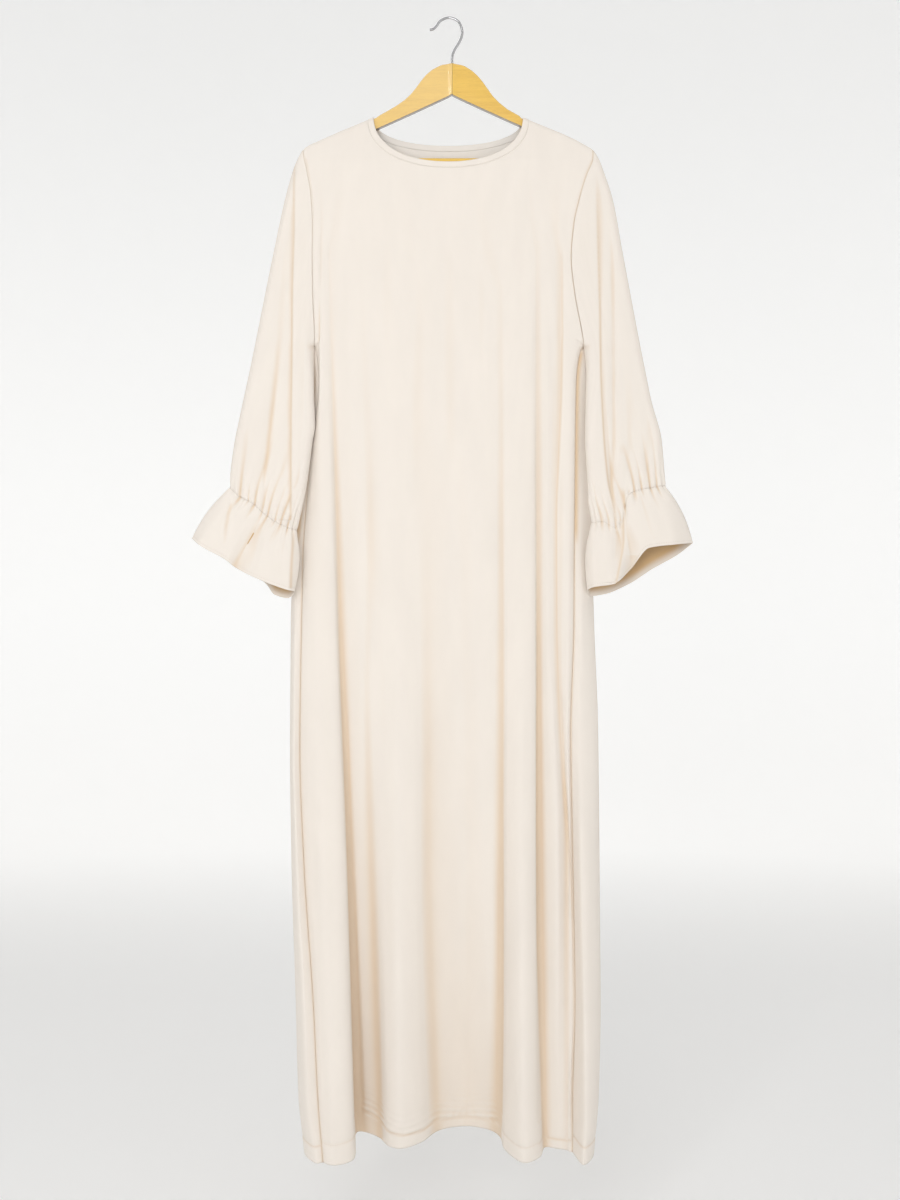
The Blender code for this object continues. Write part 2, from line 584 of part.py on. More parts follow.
def skin_faces(rows, closed):
    """Faces of a skin made of rows of points, where a row may have twice the columns of the last."""
    starts = np.cumsum([0] + [len(row) for row in rows])
    faces = []
    for r in range(len(rows) - 1):
        upper, lower = len(rows[r]), len(rows[r + 1])
        spans = upper if closed else upper - 1
        for c in range(spans):
            a = starts[r] + c
            b = starts[r] + (c + 1) % upper
            if lower == upper:
                faces.append((a, starts[r + 1] + c, starts[r + 1] + (c + 1) % lower, b))
                continue
            left, middle, right = (starts[r + 1] + (2 * c + k) % lower for k in range(3))
            faces += [(a, left, middle), (a, middle, b), (b, middle, right)]
    return faces


def skin_normals(rows, closed):
    points = np.concatenate(rows)
    normals = np.zeros_like(points)
    for face in skin_faces(rows, closed):
        corners = points[list(face)]
        normal = np.cross(corners[2] - corners[0], corners[-1] - corners[1])
        if len(face) == 3:
            normal = np.cross(corners[1] - corners[0], corners[2] - corners[0])
        for index in face:
            normals[index] += normal / len(face)
    normals /= np.maximum(np.linalg.norm(normals, axis=1), 1e-9)[:, None]
    starts = np.cumsum([len(row) for row in rows])[:-1]
    return np.split(normals, starts)


def share_normals(links, sideways=None):
    """Gives points that meet at a seam one normal. A link is a list of (normals, row, column).

    sideways has the share of its x part that each link's normal keeps.
    """
    for k, link in enumerate(links):
        total = sum(normals[row][column] for normals, row, column in link)
        if sideways:
            total = total * np.array((sideways[k], 1.0, 1.0))
        total = total / np.linalg.norm(total)
        for normals, row, column in link:
            normals[row][column] = total


def pull_back(rows, edge, towards):
    """Moves an edge point half a seam gap into its own piece."""
    row, column = edge
    inner_row, inner_column = towards
    step = rows[inner_row][inner_column] - rows[row][column]
    rows[row][column] = rows[row][column] + step / np.linalg.norm(step) * SEAM_GAP / 2


def make_wall(name, rows, normals, closed, material, outward=0.0, thickness=CLOTH):
    """A closed wall whose outer face is the skin moved outward, with a rim along its free edges."""
    outer = np.concatenate(rows) + np.concatenate(normals) * outward
    inner = outer - np.concatenate(normals) * thickness
    count = len(outer)
    faces = skin_faces(rows, closed)
    edges = {}
    for face in faces:
        for a, b in zip(face, face[1:] + face[:1]):
            edges[(a, b)] = True
    rims = [(b, a, a + count, b + count) for a, b in edges if (b, a) not in edges]
    solid = list(faces) + [tuple(i + count for i in face[::-1]) for face in faces] + rims
    return make_mesh(name, np.concatenate((outer, inner)), solid, material)


def make_bands(name, rows, normals, closed, ends, material):
    """Walls of a piece that is cut across into bands. ends has each band's word and its last row."""
    start = 0
    for word, end in ends:
        band = [np.array(row) for row in rows[start:end + 1]]
        for edge, inner, is_cut in ((0, 1, start > 0), (-1, -2, end < len(rows) - 1)):
            for c in range(len(band[edge]) if is_cut else 0):
                pull_back(band, (edge, c), (inner, c * len(band[inner]) // len(band[edge])))
        make_wall(f"{name}_{word}", band, normals[start:end + 1], closed, material)
        start = end


def make_mesh(name, points, faces, material):
    mesh = bpy.data.meshes.new(name)
    mesh.from_pydata([tuple(p * MM) for p in points], [], [tuple(int(i) for i in f) for f in faces])
    mesh.validate()
    bm = bmesh.new()
    bm.from_mesh(mesh)
    bmesh.ops.triangulate(bm, faces=bm.faces[:])
    bm.to_mesh(mesh)
    bm.free()
    mesh.shade_smooth()
    mesh.set_sharp_from_angle(angle=math.radians(50))
    return add_object(name, mesh, material)


def add_object(name, mesh, material):
    piece = bpy.data.objects.new(name, mesh)
    mesh.materials.append(material)
    PARTS.objects.link(piece)
    return piece


def make_material(name, color, roughness, metallic=0.0):
    material = bpy.data.materials.new(name)
    material.use_nodes = True
    shader = material.node_tree.nodes["Principled BSDF"]
    shader.inputs["Base Color"].default_value = (*color, 1.0)
    shader.inputs["Roughness"].default_value = roughness
    shader.inputs["Metallic"].default_value = metallic
    return material


def make_garment(crepe):
    front, back, counts = body_panels()
    sleeves = {side: sleeve_rows(side, front, back) for side in (-1, 1)}
    grids = {"front": list(front), "back": list(back)}
    normals = {name: skin_normals(rows, False) for name, rows in grids.items()}
    sleeve_normals = {side: skin_normals(rows, True) for side, rows in sleeves.items()}
    arm_rows = len(ARM_DROPS) - 1
    share_normals(*seam_links(normals, sleeve_normals, arm_rows, len(front)))
    for side, front_column, back_column in ((-1, 0, -1), (1, -1, 0)):
        underarm = arm_rows if side < 0 else 0
        for piece, row, column in ((normals["front"], arm_rows, front_column),
                                   (normals["back"], arm_rows, back_column),
                                   (sleeve_normals[side], 0, underarm)):
            piece[row][column] = np.array((0.0, 0.0, -1.0))
    open_shoulders(grids, normals, counts)
    open_sides(grids)
    for side, rows in sleeves.items():
        for c in range(len(rows[0])):
            pull_back(rows, (0, c), (1, c))
    heights = panel_rows()
    ends = [(word, heights.index(end)) for word, end in PANEL_BANDS]
    for name, rows in grids.items():
        make_bands(name, rows, normals[name], False, ends, crepe)
    for side, word in ((-1, "left"), (1, "right")):
        rows = sleeves[side]
        flounce = flounce_rows(side, rows[-1])
        flounce_normals = skin_normals(flounce, True)
        last = len(rows) - 1
        share_normals([[(sleeve_normals[side], last, c), (flounce_normals, 0, c)]
                       for c in range(len(flounce[0]))])
        for c in range(len(flounce[0])):
            pull_back(rows, (last, c), (last - 1, c))
            pull_back(flounce, (0, c), (1, c))
        stations = SLEEVE_ROWS + SLEEVE_GATHER_ROWS
        ends = [(band, stations.index(end)) for band, end in SLEEVE_BANDS[word]]
        make_bands(f"sleeve_{word}", rows, sleeve_normals[side], True, ends, crepe)
        make_wall(f"cuff_flounce_{word}", flounce, flounce_normals, True, crepe)
    make_neck_band(counts, crepe)


def seam_links(normals, sleeve_normals, arm_rows, row_count):
    """Points of the panels and sleeves that lie together on the armhole and side seams."""
    links = []
    sideways = []
    for side, front_column, back_column in ((-1, 0, -1), (1, -1, 0)):
        ring = sleeve_normals[side]
        size = len(ring[0])
        for k in range(arm_rows + 1):
            front_ring = k if side < 0 else (arm_rows - k) % size
            back_ring = (size - k) % size if side < 0 else (arm_rows + k) % size
            front_end = (normals["front"], k, front_column)
            back_end = (normals["back"], k, back_column)
            together = [[front_end, (ring, 0, front_ring)], [back_end, (ring, 0, back_ring)]]
            if k in (0, arm_rows):
                together = [[front_end, back_end, (ring, 0, front_ring)]]
            links += together
            sideways += [1 - closing(SHOULDER_Z - ARM_DROPS[k])] * len(together)
        for k in range(arm_rows + 1, row_count):
            links.append([(normals["front"], k, front_column), (normals["back"], k, back_column)])
            sideways.append(1.0)
    return links, sideways


def open_shoulders(grids, normals, counts):
    """Parts the front from the back along the shoulder seams, where both face straight up."""
    for name, folds, lead, neck, count in (
            ("front", FRONT_FOLDS, 2, FRONT_NECK_LINES, counts[0]),
            ("back", BACK_FOLDS, 3, BACK_NECK_LINES, counts[1])):
        rows = grids[name]
        first, last = neck_corners(folds, count, lead, neck)
        for c in range(len(rows[0])):
            if c <= first or c >= last:
                upright = normals[name][0][c] * np.array((1.0, 0.0, 1.0))
                normals[name][0][c] = upright / np.linalg.norm(upright)
                pull_back(rows, (0, c), (1, c))


def open_sides(grids):
    """Parts the panels from the sleeves and from each other along the armholes and side seams."""
    for rows in grids.values():
        for r in range(len(rows)):
            pull_back(rows, (r, 0), (r, 1))
            pull_back(rows, (r, -1), (r, -2))


def make_neck_band(counts, crepe):
    """The folded strip that finishes the neck, with its two edges on the neckline's two curves."""
    start_f, end_f = neck_corners(FRONT_FOLDS, counts[0], 2, FRONT_NECK_LINES)
    start_b, end_b = neck_corners(BACK_FOLDS, counts[1], 3, BACK_NECK_LINES)
    spots = [(angle, NECK_FRONT_Z, front_top_y) for angle in neck_angles(end_f - start_f)[:-1]]
    spots += [(angle, NECK_BACK_Z, back_top_y) for angle in neck_angles(end_b - start_b)[:0:-1]]
    edge = [neck_point(angle, 0.0, z, depth) for angle, z, depth in spots]
    lower = [neck_point(angle, NECK_BAND_WIDTH - SEAM_GAP, z, depth) for angle, z, depth in spots]
    rows = [np.array(edge), np.array(lower)]
    make_wall("neck_band", rows, skin_normals(rows, True), True, crepe,
              outward=NECK_BAND_PROUD, thickness=NECK_BAND_THICKNESS)


# Hanger

def arm_top_z(x):
    if abs(x) < NECK_HALF_WIDTH - 3:
        return float(np.interp(abs(x - ARM_MIDDLE_X), *zip(*ARM_TOP)))
    return ridge_z(x) - CLOTH - ARM_CLEARANCE


def arm_stations():
    """x, z of the top and z of the bottom of each section along the arms."""
    inner = sorted({ARM_MIDDLE_X + side * d for side in (-1, 1) for d in ARM_NECK_SECTIONS})
    outer = list(ARM_CLOTH_SECTIONS)
    stations = [(x, arm_top_z(x), ARM_VERTEX_Z - ARM_LOWER_SLOPE * abs(x - ARM_MIDDLE_X))
                for x in [-d for d in outer[::-1]] + inner + outer]
    for side in (-1, 1):
        ends = [(side * x, arm_top_z(side * x) - rounding, EAR_Z + rounding)
                for x, rounding in ARM_EAR_SECTIONS]
        stations = ends[::-1] + stations if side < 0 else stations + ends
    return stations


def make_arms(wood):
    """Loft of rounded upright sections along the two swept arms."""
    rings = []
    for x, top, bottom in arm_stations():
        radius = min(ARM_HALF_THICKNESS, (top - bottom) / 2 - 0.1)
        ring = []
        for centre, start in ((top - radius, 0.0), (bottom + radius, math.pi)):
            for k in range(ARM_ARC_STEPS + 1):
                angle = start + math.pi * k / ARM_ARC_STEPS
                y = ridge_y(x) + ARM_HALF_THICKNESS * math.cos(angle)
                ring.append((x, y, centre + radius * math.sin(angle)))
        rings.append(ring)
    size = len(rings[0])
    points = np.array([p for ring in rings for p in ring])
    faces = []
    for r in range(len(rings) - 1):
        for c in range(size):
            a, b = r * size + c, r * size + (c + 1) % size
            faces.append((a, a + size, b + size, b))
    faces.append(tuple(range(size)))
    faces.append(tuple((len(rings) - 1) * size + c for c in reversed(range(size))))
    arms = make_mesh("hanger_arms", points, faces, wood)
    bore = add_cylinder("stem_bore", WIRE_RADIUS + SEAM_GAP, STEM_BORE, wood)
    bore.location = (STEM_X * MM, 0, (STEM_BOTTOM_Z - SEAM_GAP + STEM_BORE / 2) * MM)
    bore.rotation_euler = (0, 0, math.pi / ROUND_SEGMENTS)
    PARTS.objects.unlink(bore)
    CUTTERS.objects.link(bore)
    bore.hide_render = True
    bore.display_type = "WIRE"
    cut = arms.modifiers.new("stem bore", "BOOLEAN")
    cut.operation = "DIFFERENCE"
    cut.object = bore


def add_cylinder(name, radius, length, material):
    bm = bmesh.new()
    bmesh.ops.create_cone(bm, cap_ends=True, segments=ROUND_SEGMENTS, radius1=radius * MM,
                          radius2=radius * MM, depth=length * MM)
    mesh = bpy.data.meshes.new(name)
    bm.to_mesh(mesh)
    bm.free()
    mesh.shade_smooth()
    mesh.set_sharp_from_angle(angle=math.radians(40))
    return add_object(name, mesh, material)


def make_bar(wood):
    bar = add_cylinder("trouser_bar", BAR_RADIUS, 2 * (EAR_X - SEAM_GAP), wood)
    bar.rotation_euler = (0, math.pi / 2, 0)
    bar.location = (0, BAR_Y * MM, BAR_Z * MM)


def make_hook(chrome):
    path = [(x, 0, z) for x, z in HOOK_PATH]
    path = [path[0]] + path + [path[-1]]
    line = curve_points(path, [HOOK_STEPS] * (len(path) - 3))
    curve = bpy.data.curves.new("hanger_hook", "CURVE")
    curve.dimensions = "3D"
    spline = curve.splines.new("POLY")
    spline.points.add(len(line) - 1)
    for point, place in zip(spline.points, line):
        point.co = (*(place * MM), 1.0)
    curve.bevel_depth = WIRE_RADIUS * MM
    curve.bevel_resolution = 2
    curve.use_fill_caps = True
    curve.materials.append(chrome)
    hook = bpy.data.objects.new("hanger_hook", curve)
    PARTS.objects.link(hook)


def clear_scene():
    for item in list(bpy.data.objects):
        bpy.data.objects.remove(item, do_unlink=True)


clear_scene()
PARTS = bpy.data.collections.new("abaya_on_hanger")
CUTTERS = bpy.data.collections.new("cutters")
for collection in (PARTS, CUTTERS):
    bpy.context.scene.collection.children.link(collection)

make_garment(make_material("cream_crepe", (0.80, 0.73, 0.64), 0.85))
make_arms(make_material("varnished_wood", (0.70, 0.42, 0.17), 0.35))
make_bar(make_material("bar_wood", (0.66, 0.38, 0.15), 0.4))
make_hook(make_material("chrome_wire", (0.8, 0.8, 0.82), 0.15, 1.0))
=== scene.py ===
import math

import bmesh
import bpy
import numpy as np
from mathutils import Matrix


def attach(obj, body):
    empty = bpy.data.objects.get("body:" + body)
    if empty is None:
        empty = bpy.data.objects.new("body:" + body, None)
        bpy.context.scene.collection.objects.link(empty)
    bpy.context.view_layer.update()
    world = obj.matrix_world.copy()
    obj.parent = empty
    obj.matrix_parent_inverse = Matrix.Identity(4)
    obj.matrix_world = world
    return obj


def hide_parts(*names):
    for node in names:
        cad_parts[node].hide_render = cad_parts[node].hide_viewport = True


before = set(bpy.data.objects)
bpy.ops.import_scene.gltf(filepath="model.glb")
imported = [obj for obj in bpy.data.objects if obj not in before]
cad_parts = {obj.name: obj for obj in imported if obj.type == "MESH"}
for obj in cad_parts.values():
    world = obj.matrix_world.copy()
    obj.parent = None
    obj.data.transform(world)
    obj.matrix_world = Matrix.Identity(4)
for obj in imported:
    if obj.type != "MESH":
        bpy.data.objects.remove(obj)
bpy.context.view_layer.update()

bl_info = {
    "name": "Abaya on a wooden hanger",
    "version": (1, 0, 0),
    "blender": (4, 5, 0),
    "location": "View3D > Sidebar > Abaya",
    "description": "Dresses the abaya, its hanger and its stage on the packed frame",
    "category": "Object",
}

MM = 0.001

# Sizes are in millimetres until a mesh is made. x runs to the viewer's right, the front faces -y
# and z is up. The origin is the inside of the hook's crown. Left and right are as seen from the
# front.

SIDES = ((-1, "left"), (1, "right"))
SEAM_COLUMNS = ((0, -1), (-1, 0))   # columns of the front and the back at the left and right seam

# Cloth
CLOTH = 1.5                 # wall of the crepe with its seam allowances
NECK_BAND_WIDTH = 8.5
NECK_BAND_PROUD = 0.4       # how far the band stands out of the panels
NECK_BAND_THICKNESS = 1.4   # wall of the band
NECK_BAND_ROWS = 12
NECK_BAND_ROUNDS = (0.25, 0.12)     # shares of its width that are rounded, at its edge and its seam
NECK_STITCH_DEPTH = 1.2     # from the band's seam

# Heights of the main levels
SHOULDER_Z = -187.5         # top of the armhole seams
BAR_Z = -204.5              # axis of the trouser bar
CHEST_Z = -360.0
UNDERARM_Z = -461.5
HIP_Z = -851.0
KNEE_Z = -1178.0
HEM_Z = -1568.5             # lowest point of the hem, at the crest of the deepest flute
HEM_CREST_Y = -95.0         # depth of that crest
STATIONS = (CHEST_Z, HIP_Z, KNEE_Z, HEM_Z)

# Hanger
ARM_SWEEP = 16.0            # how far the arm ends come forward
ARM_REACH = 205.0           # half length on which the sweep is measured
ARM_HALF_THICKNESS = 5.2
ARM_CLEARANCE = 0.8         # between the wood and the cloth that lies on it
RIDGE_HALF_DEPTH = 8.5      # half depth of the cloth where it folds over an arm
RIDGE_ROUND = 9.0           # height of that fold
BAR_Y = -13.6
BAR_RADIUS = 5.5
BAR_END_GAP = 0.3           # between the bar and the ears
BAR_END_BEVEL = 0.6
CLOTH_AT_BAR_Y = -22.6      # front of the cloth where it hangs over the bar

# Neck opening, measured at its finished edge
NECK_CENTRE_X = -1.0
NECK_HALF_WIDTH = 104.0
NECK_FRONT_Z = -205.8
NECK_BACK_Z = -175.0
NECK_SQUARENESS = 2.2       # 2 is an ellipse, more is squarer
NECK_CORNER_POWER = 1.6     # crowds the columns where the neckline crosses the shoulders
NECK_FAN = 9.0              # how far the columns at those corners spread towards the armholes
NECK_FAN_DROP = 14.0        # below the shoulders, where they have spread that far
NECK_FAN_COLUMNS = 6        # columns round the neck that take part

# Outer ridge of the cloth along the shoulders: x, z, with the neck between the middle two
RIDGE_LEFT = ((-214, -196), (-203, -187.5), (-193, -180.5), (-152, -160.5), (-105, -139.5))
RIDGE_RIGHT = ((103, -139.5), (155, -162.5), (175, -172.5), (200, -187.5), (212, -196))

# Armhole seams: z, x left, x right
ARMHOLES = (
    (SHOULDER_Z, -203, 200), (-202, -200, 199), (-225, -195, 190), (-257, -190.5, 180.5),
    (-296, -189, 172.5), (-338, -189.5, 169.5), (-382, -189, 173.5), (-448, -186.5, 185.5),
    (UNDERARM_Z, -187, 187.5),
)
ARMHOLE_MID_Y = (-15.5, -12.0)      # middle of the sleeve's depth at the shoulder and the underarm
ARMHOLE_HALF_DEPTH = 8.5
UNDERARM_ROUND = 14.0               # height over which the armhole closes at the underarm

# Rows of the panels: drops below the shoulder point, then heights down the side seams
ARM_DROPS = (0, 1, 3.5, 9, 22, 50, 90, 135, 180, 220, 248, 262, 269.5, 273, 274)
SIDE_HEIGHTS = (-472, -495, -550, -640, -740, -851, -970, -1090, -1210, -1330, -1440, -1520, HEM_Z)

# Side seams and the lines beside them: the front's turn, the seam, then the crest and the outer
# edge of the fold that wraps round from the back: z, x and y of each
SIDE_LEFT = (
    (UNDERARM_Z, -182, -18.5, -187, -12, -183, -7.5, -177, -4),
    (-468, -181.5, -19, -185.5, -13, -191.5, -6, -184, -2),
    (-482, -180.5, -19, -184, -13, -194, -5.5, -188, -1),
    (-508, -179.5, -20, -182, -14, -196, -5, -191, 0),
    (-591, -186, -22, -190, -16, -203, -8, -200, 1),
    (-675, -191, -25, -198, -18, -211, -11, -209, 0),
    (-758, -194, -30, -203, -22, -214, -17, -216, -3),
    (-851, -194, -35, -204, -30, -213, -30, -220, -10),
    (-1006, -193, -46, -205, -40, -213, -44, -220, -18),
    (-1178, -187, -58.5, -198, -52, -207, -58, -217, -28),
    (-1357, -176, -75.5, -184, -70, -196, -76, -211, -40),
    (-1495, -168, -86, -176, -82, -189, -86, -206, -52),
    (HEM_Z, -162, -94, -169, -90, -177, -92, -196, -68),
)
SIDE_RIGHT = (
    (UNDERARM_Z, 182, -18.5, 187.5, -12, 184, -7.5, 178, -4),
    (-468, 179, -19.5, 184.5, -13, 193, -6, 186, -2),
    (-482, 175, -20, 181, -14, 195, -5.5, 190, -1),
    (-508, 170, -22, 178, -16, 197, -5, 193, 0),
    (-591, 168, -24, 176, -20, 194, -9, 198, -3),
    (-675, 167, -26, 175, -22, 187, -18, 201, -6),
    (-758, 166, -28, 174, -24, 185, -22, 200, -8),
    (-851, 165, -31, 173, -27, 184, -29, 202, -11),
    (-1006, 163, -36, 168, -33, 180, -39, 207, -20),
    (-1178, 166, -40, 170, -38, 181, -56, 208, -32),
    (-1357, 168, -50, 172, -50, 183, -73, 208, -45),
    (-1495, 164.5, -61, 168, -60, 184, -87, 204, -58),
    (HEM_Z, 163.5, -66, 167, -68, 180, -95, 196, -72),
)

# Fold lines of the front, left to right: name, x at the top edge (None round the neck), then
# x and y at chest, hip, knee and hem, and the number of columns up to the next line
FRONT_FOLDS = (
    ("flute_left_crest", -186, (-178, -20), (-180, -38), (-171, -66), (-152, -96), 2),
    ("flute_left_edge", -172, (-172, -20), (-157, -34), (-140, -57), (-129, -84), 3),
    ("valley_left", -146, (-166, -19), (-149, -25), (-137, -29), (-126, -22), 2),
    ("slope_left", -113.5, (-144, -20), (-123, -31), (-109, -33), (-96, -35), 1),
    ("flute_mid_left", None, (-126, -20), (-101, -32), (-91, -42), (-83, -54), 2),
    ("flute_mid_crest", None, (-107, -20), (-72, -34), (-70, -49), (-65, -60), 3),
    ("flute_mid_right", None, (-75, -20), (-50, -32), (-48, -44), (-38, -46), 2),
    ("recess_left", None, (-40, -20), (-26, -28), (-25, -31), (-14, -19), 3),
    ("recess_floor", None, (8, -20), (18, -28), (24, -27), (24, -9), 3),
    ("recess_right", None, (53, -20), (57, -30), (57, -30), (58, -19), 1),
    ("step_foot", None, (71, -19.5), (73, -28), (72, -32), (70, -33), 2),
    ("flute_right_left", None, (82, -20), (81, -32), (79, -45), (76, -62), 3),
    ("flute_right_crest", None, (98, -20), (101, -36), (98, -59), (101, -91), 3),
    ("flute_right_edge", None, (115, -20), (119, -32), (118, -51), (123, -78), 2),
    ("valley_right", None, (122, -19), (124, -26), (125, -36), (131, -57), 2),
    ("flat_right", 111.5, (139, -20), (138, -31), (149, -46), (147, -60), 2),
    ("valley_side", 152, (154, -19), (151, -27), (162, -37), (160, -63), 2),
)
FRONT_SIDE_COLUMNS = 1              # between a side seam, the front's turn and its first fold line
FRONT_TURN_TOP_STEP = 8.0           # how far in the front's turn starts from the armhole seam
FRONT_NECK_LINES = ("slope_left", "flat_right")

# Fold lines of the back, right to left, in the same columns
BACK_FOLDS = (
    ("turn_right", 111.5, (150, 0), (182, 10), (190, 6), (186, -20), 3),
    ("crest_1", None, (110, 5), (140, 25), (150, 33), (152, 28), 2),
    ("valley_1", None, (75, 8), (95, 13), (105, 14), (108, 8), 3),
    ("crest_2", None, (35, 9), (50, 26), (55, 37), (58, 35), 2),
    ("valley_2", None, (0, 10), (5, 15), (5, 17), (6, 11), 3),
    ("crest_3", None, (-40, 9), (-48, 26), (-55, 37), (-60, 35), 2),
    ("valley_3", None, (-78, 8), (-95, 13), (-105, 13), (-110, 7), 3),
    ("crest_4", None, (-112, 5), (-140, 23), (-152, 31), (-158, 25), 3),
    ("turn_left", -113.5, (-150, 0), (-192, 9), (-198, 3), (-188, -22), 4),
)
BACK_NECK_LINES = ("turn_right", "turn_left")
SIDE_WRAP_COLUMNS = (2, 2, 4)       # seam to crest, crest to edge, edge to the back's first line
SIDE_WRAP_TOP_STEPS = (5.0, 11.0)   # how far the wrap lines start from the armhole seam

# Hem: it rises where the cloth lies further back
HEM_RISE = 0.253
HEM_RISE_BACK_LIMIT = -5.0

# Sleeves: z, x outer edge, x inner edge below the underarm, middle y, half depth
SLEEVE_LEFT = (
    (SHOULDER_Z, -203, -203, -15.5, 8.5), (-202, -211, -200, -15.3, 8.5),
    (-211, -215, -197, -15.2, 8.5), (-257, -228, -190, -14.7, 8.5), (-327, -243, -189, -13.8, 8.5),
    (-396, -257, -188, -14.4, 8.8), (UNDERARM_Z, -270, -187, -16.2, 9.2),
    (-500, -277.5, -187, -18.6, 9.8), (-537, -285, -186.5, -22, 11), (-573, -292, -185, -26, 12),
    (-593, -296, -188, -28.5, 12), (-649, -302, -194, -36, 12), (-676, -303, -198, -38.5, 11.5),
    (-717, -303, -208, -42, 11),
)
SLEEVE_RIGHT = (
    (SHOULDER_Z, 200, 200, -15.5, 8.5), (-202, 209, 199, -15.3, 8.5),
    (-216, 214.5, 195, -15.2, 8.5), (-257, 228, 180, -14.7, 8.5), (-327, 241, 170, -13.8, 8.5),
    (-396, 254, 176, -14.3, 8.8), (UNDERARM_Z, 266.5, 187.5, -15.8, 9.2),
    (-500, 274, 190.5, -17.8, 9.8), (-536, 281, 189.5, -20.6, 11), (-592, 295, 188, -25.5, 12),
    (-648, 299, 190, -31, 12), (-676, 302, 190.5, -33, 11.5), (-707, 302, 195, -35, 11),
    (-720, 302, 195, -36, 11),
)
# Where a height of the armhole seam ends up across the sleeve: drop, place from the outer edge
ARMHOLE_PLACES = ((0, 0), (3.5, 0.035), (9, 0.085), (22, 0.18), (50, 0.34), (90, 0.52),
                  (140, 0.67), (208, 0.84), (248, 0.945), (262, 0.975), (274, 1))
# Elastic at the wrist, from the outer edge (0) to the inner edge (1): place, drop
WRIST_Z = {-1: -658.0, 1: -655.0}
WRIST_DROPS = {
    -1: ((0, 0), (0.17, 14), (0.32, 22), (0.49, 36), (0.68, 48), (0.9, 57), (1, 59)),
    1: ((0, 0), (0.17, 3), (0.37, 7), (0.5, 14), (0.6, 48), (0.7, 59), (0.85, 50), (1, 52)),
}
SLEEVE_EDGE_ROUND = 12.0

# Cuff flounces' hems, round from the outer edge (0) by the front to the inner edge (1) and
# back (2): place, x, y, z
FLOUNCE_LEFT = (
    (0, -353, -42, -729), (0.12, -340, -55, -739), (0.38, -304, -59, -759), (0.5, -292, -50, -769),
    (0.8, -250, -63, -789), (0.93, -219, -59, -800), (1, -211, -46, -802), (1.09, -222, -34, -811),
    (1.2, -241, -30, -806), (1.28, -252, -28, -792), (1.42, -272, -27, -776),
    (1.65, -310, -25, -750), (1.88, -344, -31, -729),
)
FLOUNCE_RIGHT = (
    (0, 336, -36, -735), (0.2, 306, -53, -738), (0.42, 274, -50, -742), (0.58, 250, -37, -771),
    (0.8, 224, -49, -792), (0.95, 198, -42, -796), (1, 191, -30, -800), (1.06, 197, -19, -808),
    (1.25, 218, -12, -805), (1.45, 251, -11, -791), (1.65, 282, -12, -771), (1.85, 320, -17, -749),
)
FLOUNCE_SWELL = 5.0

# Hanger arms, half outline from the middle: distance, z of the top
ARM_MIDDLE_X = 4.0
ARM_TOP_LEFT = ((0, -62.8), (15, -65), (28, -72), (39, -81.5), (46.6, -92.4), (54.4, -103),
                (62.8, -112), (74, -120.4), (81, -125), (89.4, -129.9), (97, -134.4), (105, -139))
ARM_TOP_RIGHT = ((0, -62.8), (16.3, -65.6), (29.6, -74), (39.4, -83.5), (47.8, -95.2), (55.5, -107),
                 (65.4, -117.6), (78.6, -128.5), (98.2, -139.6))
ARM_VERTEX_Z = -107.0               # lower edge at the middle
ARM_LOWER_SLOPE = 0.47
EAR_X = 188.0                       # inner faces of the ears that hold the bar
EAR_Z = -214.0
ARM_END_X = 201.5
# Sections of the arms, from the middle outwards: in the neck, under the cloth, and at the ears
ARM_NECK_SECTIONS = (0, 1, 2.2, 3.6, 5.5, 9, 13, 18, 28, 36, 43, 50, 57, 66, 78, 91)
ARM_CLOTH_SECTIONS = (98, 101.2, 112, 126, 140, 153, 164, 175, EAR_X)
ARM_EAR_SECTIONS = ((EAR_X + 0.6, 0.3), (EAR_X + 6, 0.6), (ARM_END_X - 3, 1.5), (ARM_END_X, 5))
JOINT_RIDGE = 1.3                   # how far the front stands out at the joint
JOINT_RIDGE_WIDTH = 4.0
JOINT_X = 0.0046                    # place of the dark line at the joint, in metres

# Hook wire
WIRE_RADIUS = 1.75
WIRE_STEPS = 8                      # from one point of the path to the next
WIRE_TIP_BEVEL = 1.2
STEM_X = 4.6
STEM_BOTTOM_Z = -83.0
HOOK_PATH = ((-27, -15.2), (-21.5, -14), (-17.2, -9.6), (-12.3, -3), (0, 1.75), (12.9, -3.4),
             (18.5, -16.8), (17.3, -26), (13, -35), (7.8, -43.5), (STEM_X, -53), (STEM_X, -68),
             (STEM_X, STEM_BOTTOM_Z))

# Words of the solids that the panels and the sleeves stand for, from the top down
PANEL_BANDS = ("bodice", "skirt_upper", "skirt_lower")
SLEEVE_BANDS = {"left": ("upper", "middle", "lower"), "right": ("upper", "lower")}

MERGE = 0.00002                     # points nearer than this are one, in metres

# How finely the cloth is cut
FINER_COLUMNS = 6
ARM_STEPS = (1, 2, 3, 4, 6, 8, 8, 8, 7, 6, 5, 4, 2, 1)
SIDE_STEPS = (3, 4, 6, 8, 9, 8, 8, 8, 8, 9, 10, 24, 20)
SLEEVE_STATIONS = (0, 0.008, 0.03, 0.1, 0.7, 0.9, 1)
SLEEVE_STEPS = (2, 3, 6, 48, 28, 26)
SLEEVE_EVENING = 0.71                      # share of a sleeve below which its columns spread evenly
SLEEVE_LEAVE = 60.0                        # how far below its seam a sleeve has its own depth
FLOUNCE_STATIONS = (0, 0.12, 0.85, 1)
FLOUNCE_STEPS = (6, 28, 10)

# Relief, and painted light and shade
STEP_FADE = 26.0                           # how far the cloth beside a step comes back
STEP_EDGE = 2.5                            # how sharp a step is
SWELLS = ((170.0, 0.6), (80.0, 0.14))      # length and height of gentle swells
SWELL_WAVES = 6                            # waves laid over each other for each of them
SLEEVE_SWELLS = 0.7                        # share of the swells on a sleeve and on a flounce
FLOUNCE_SWELLS = 0.6
FACING = (0.1, 0.4)                        # turn of the cloth where creases begin, and its reach
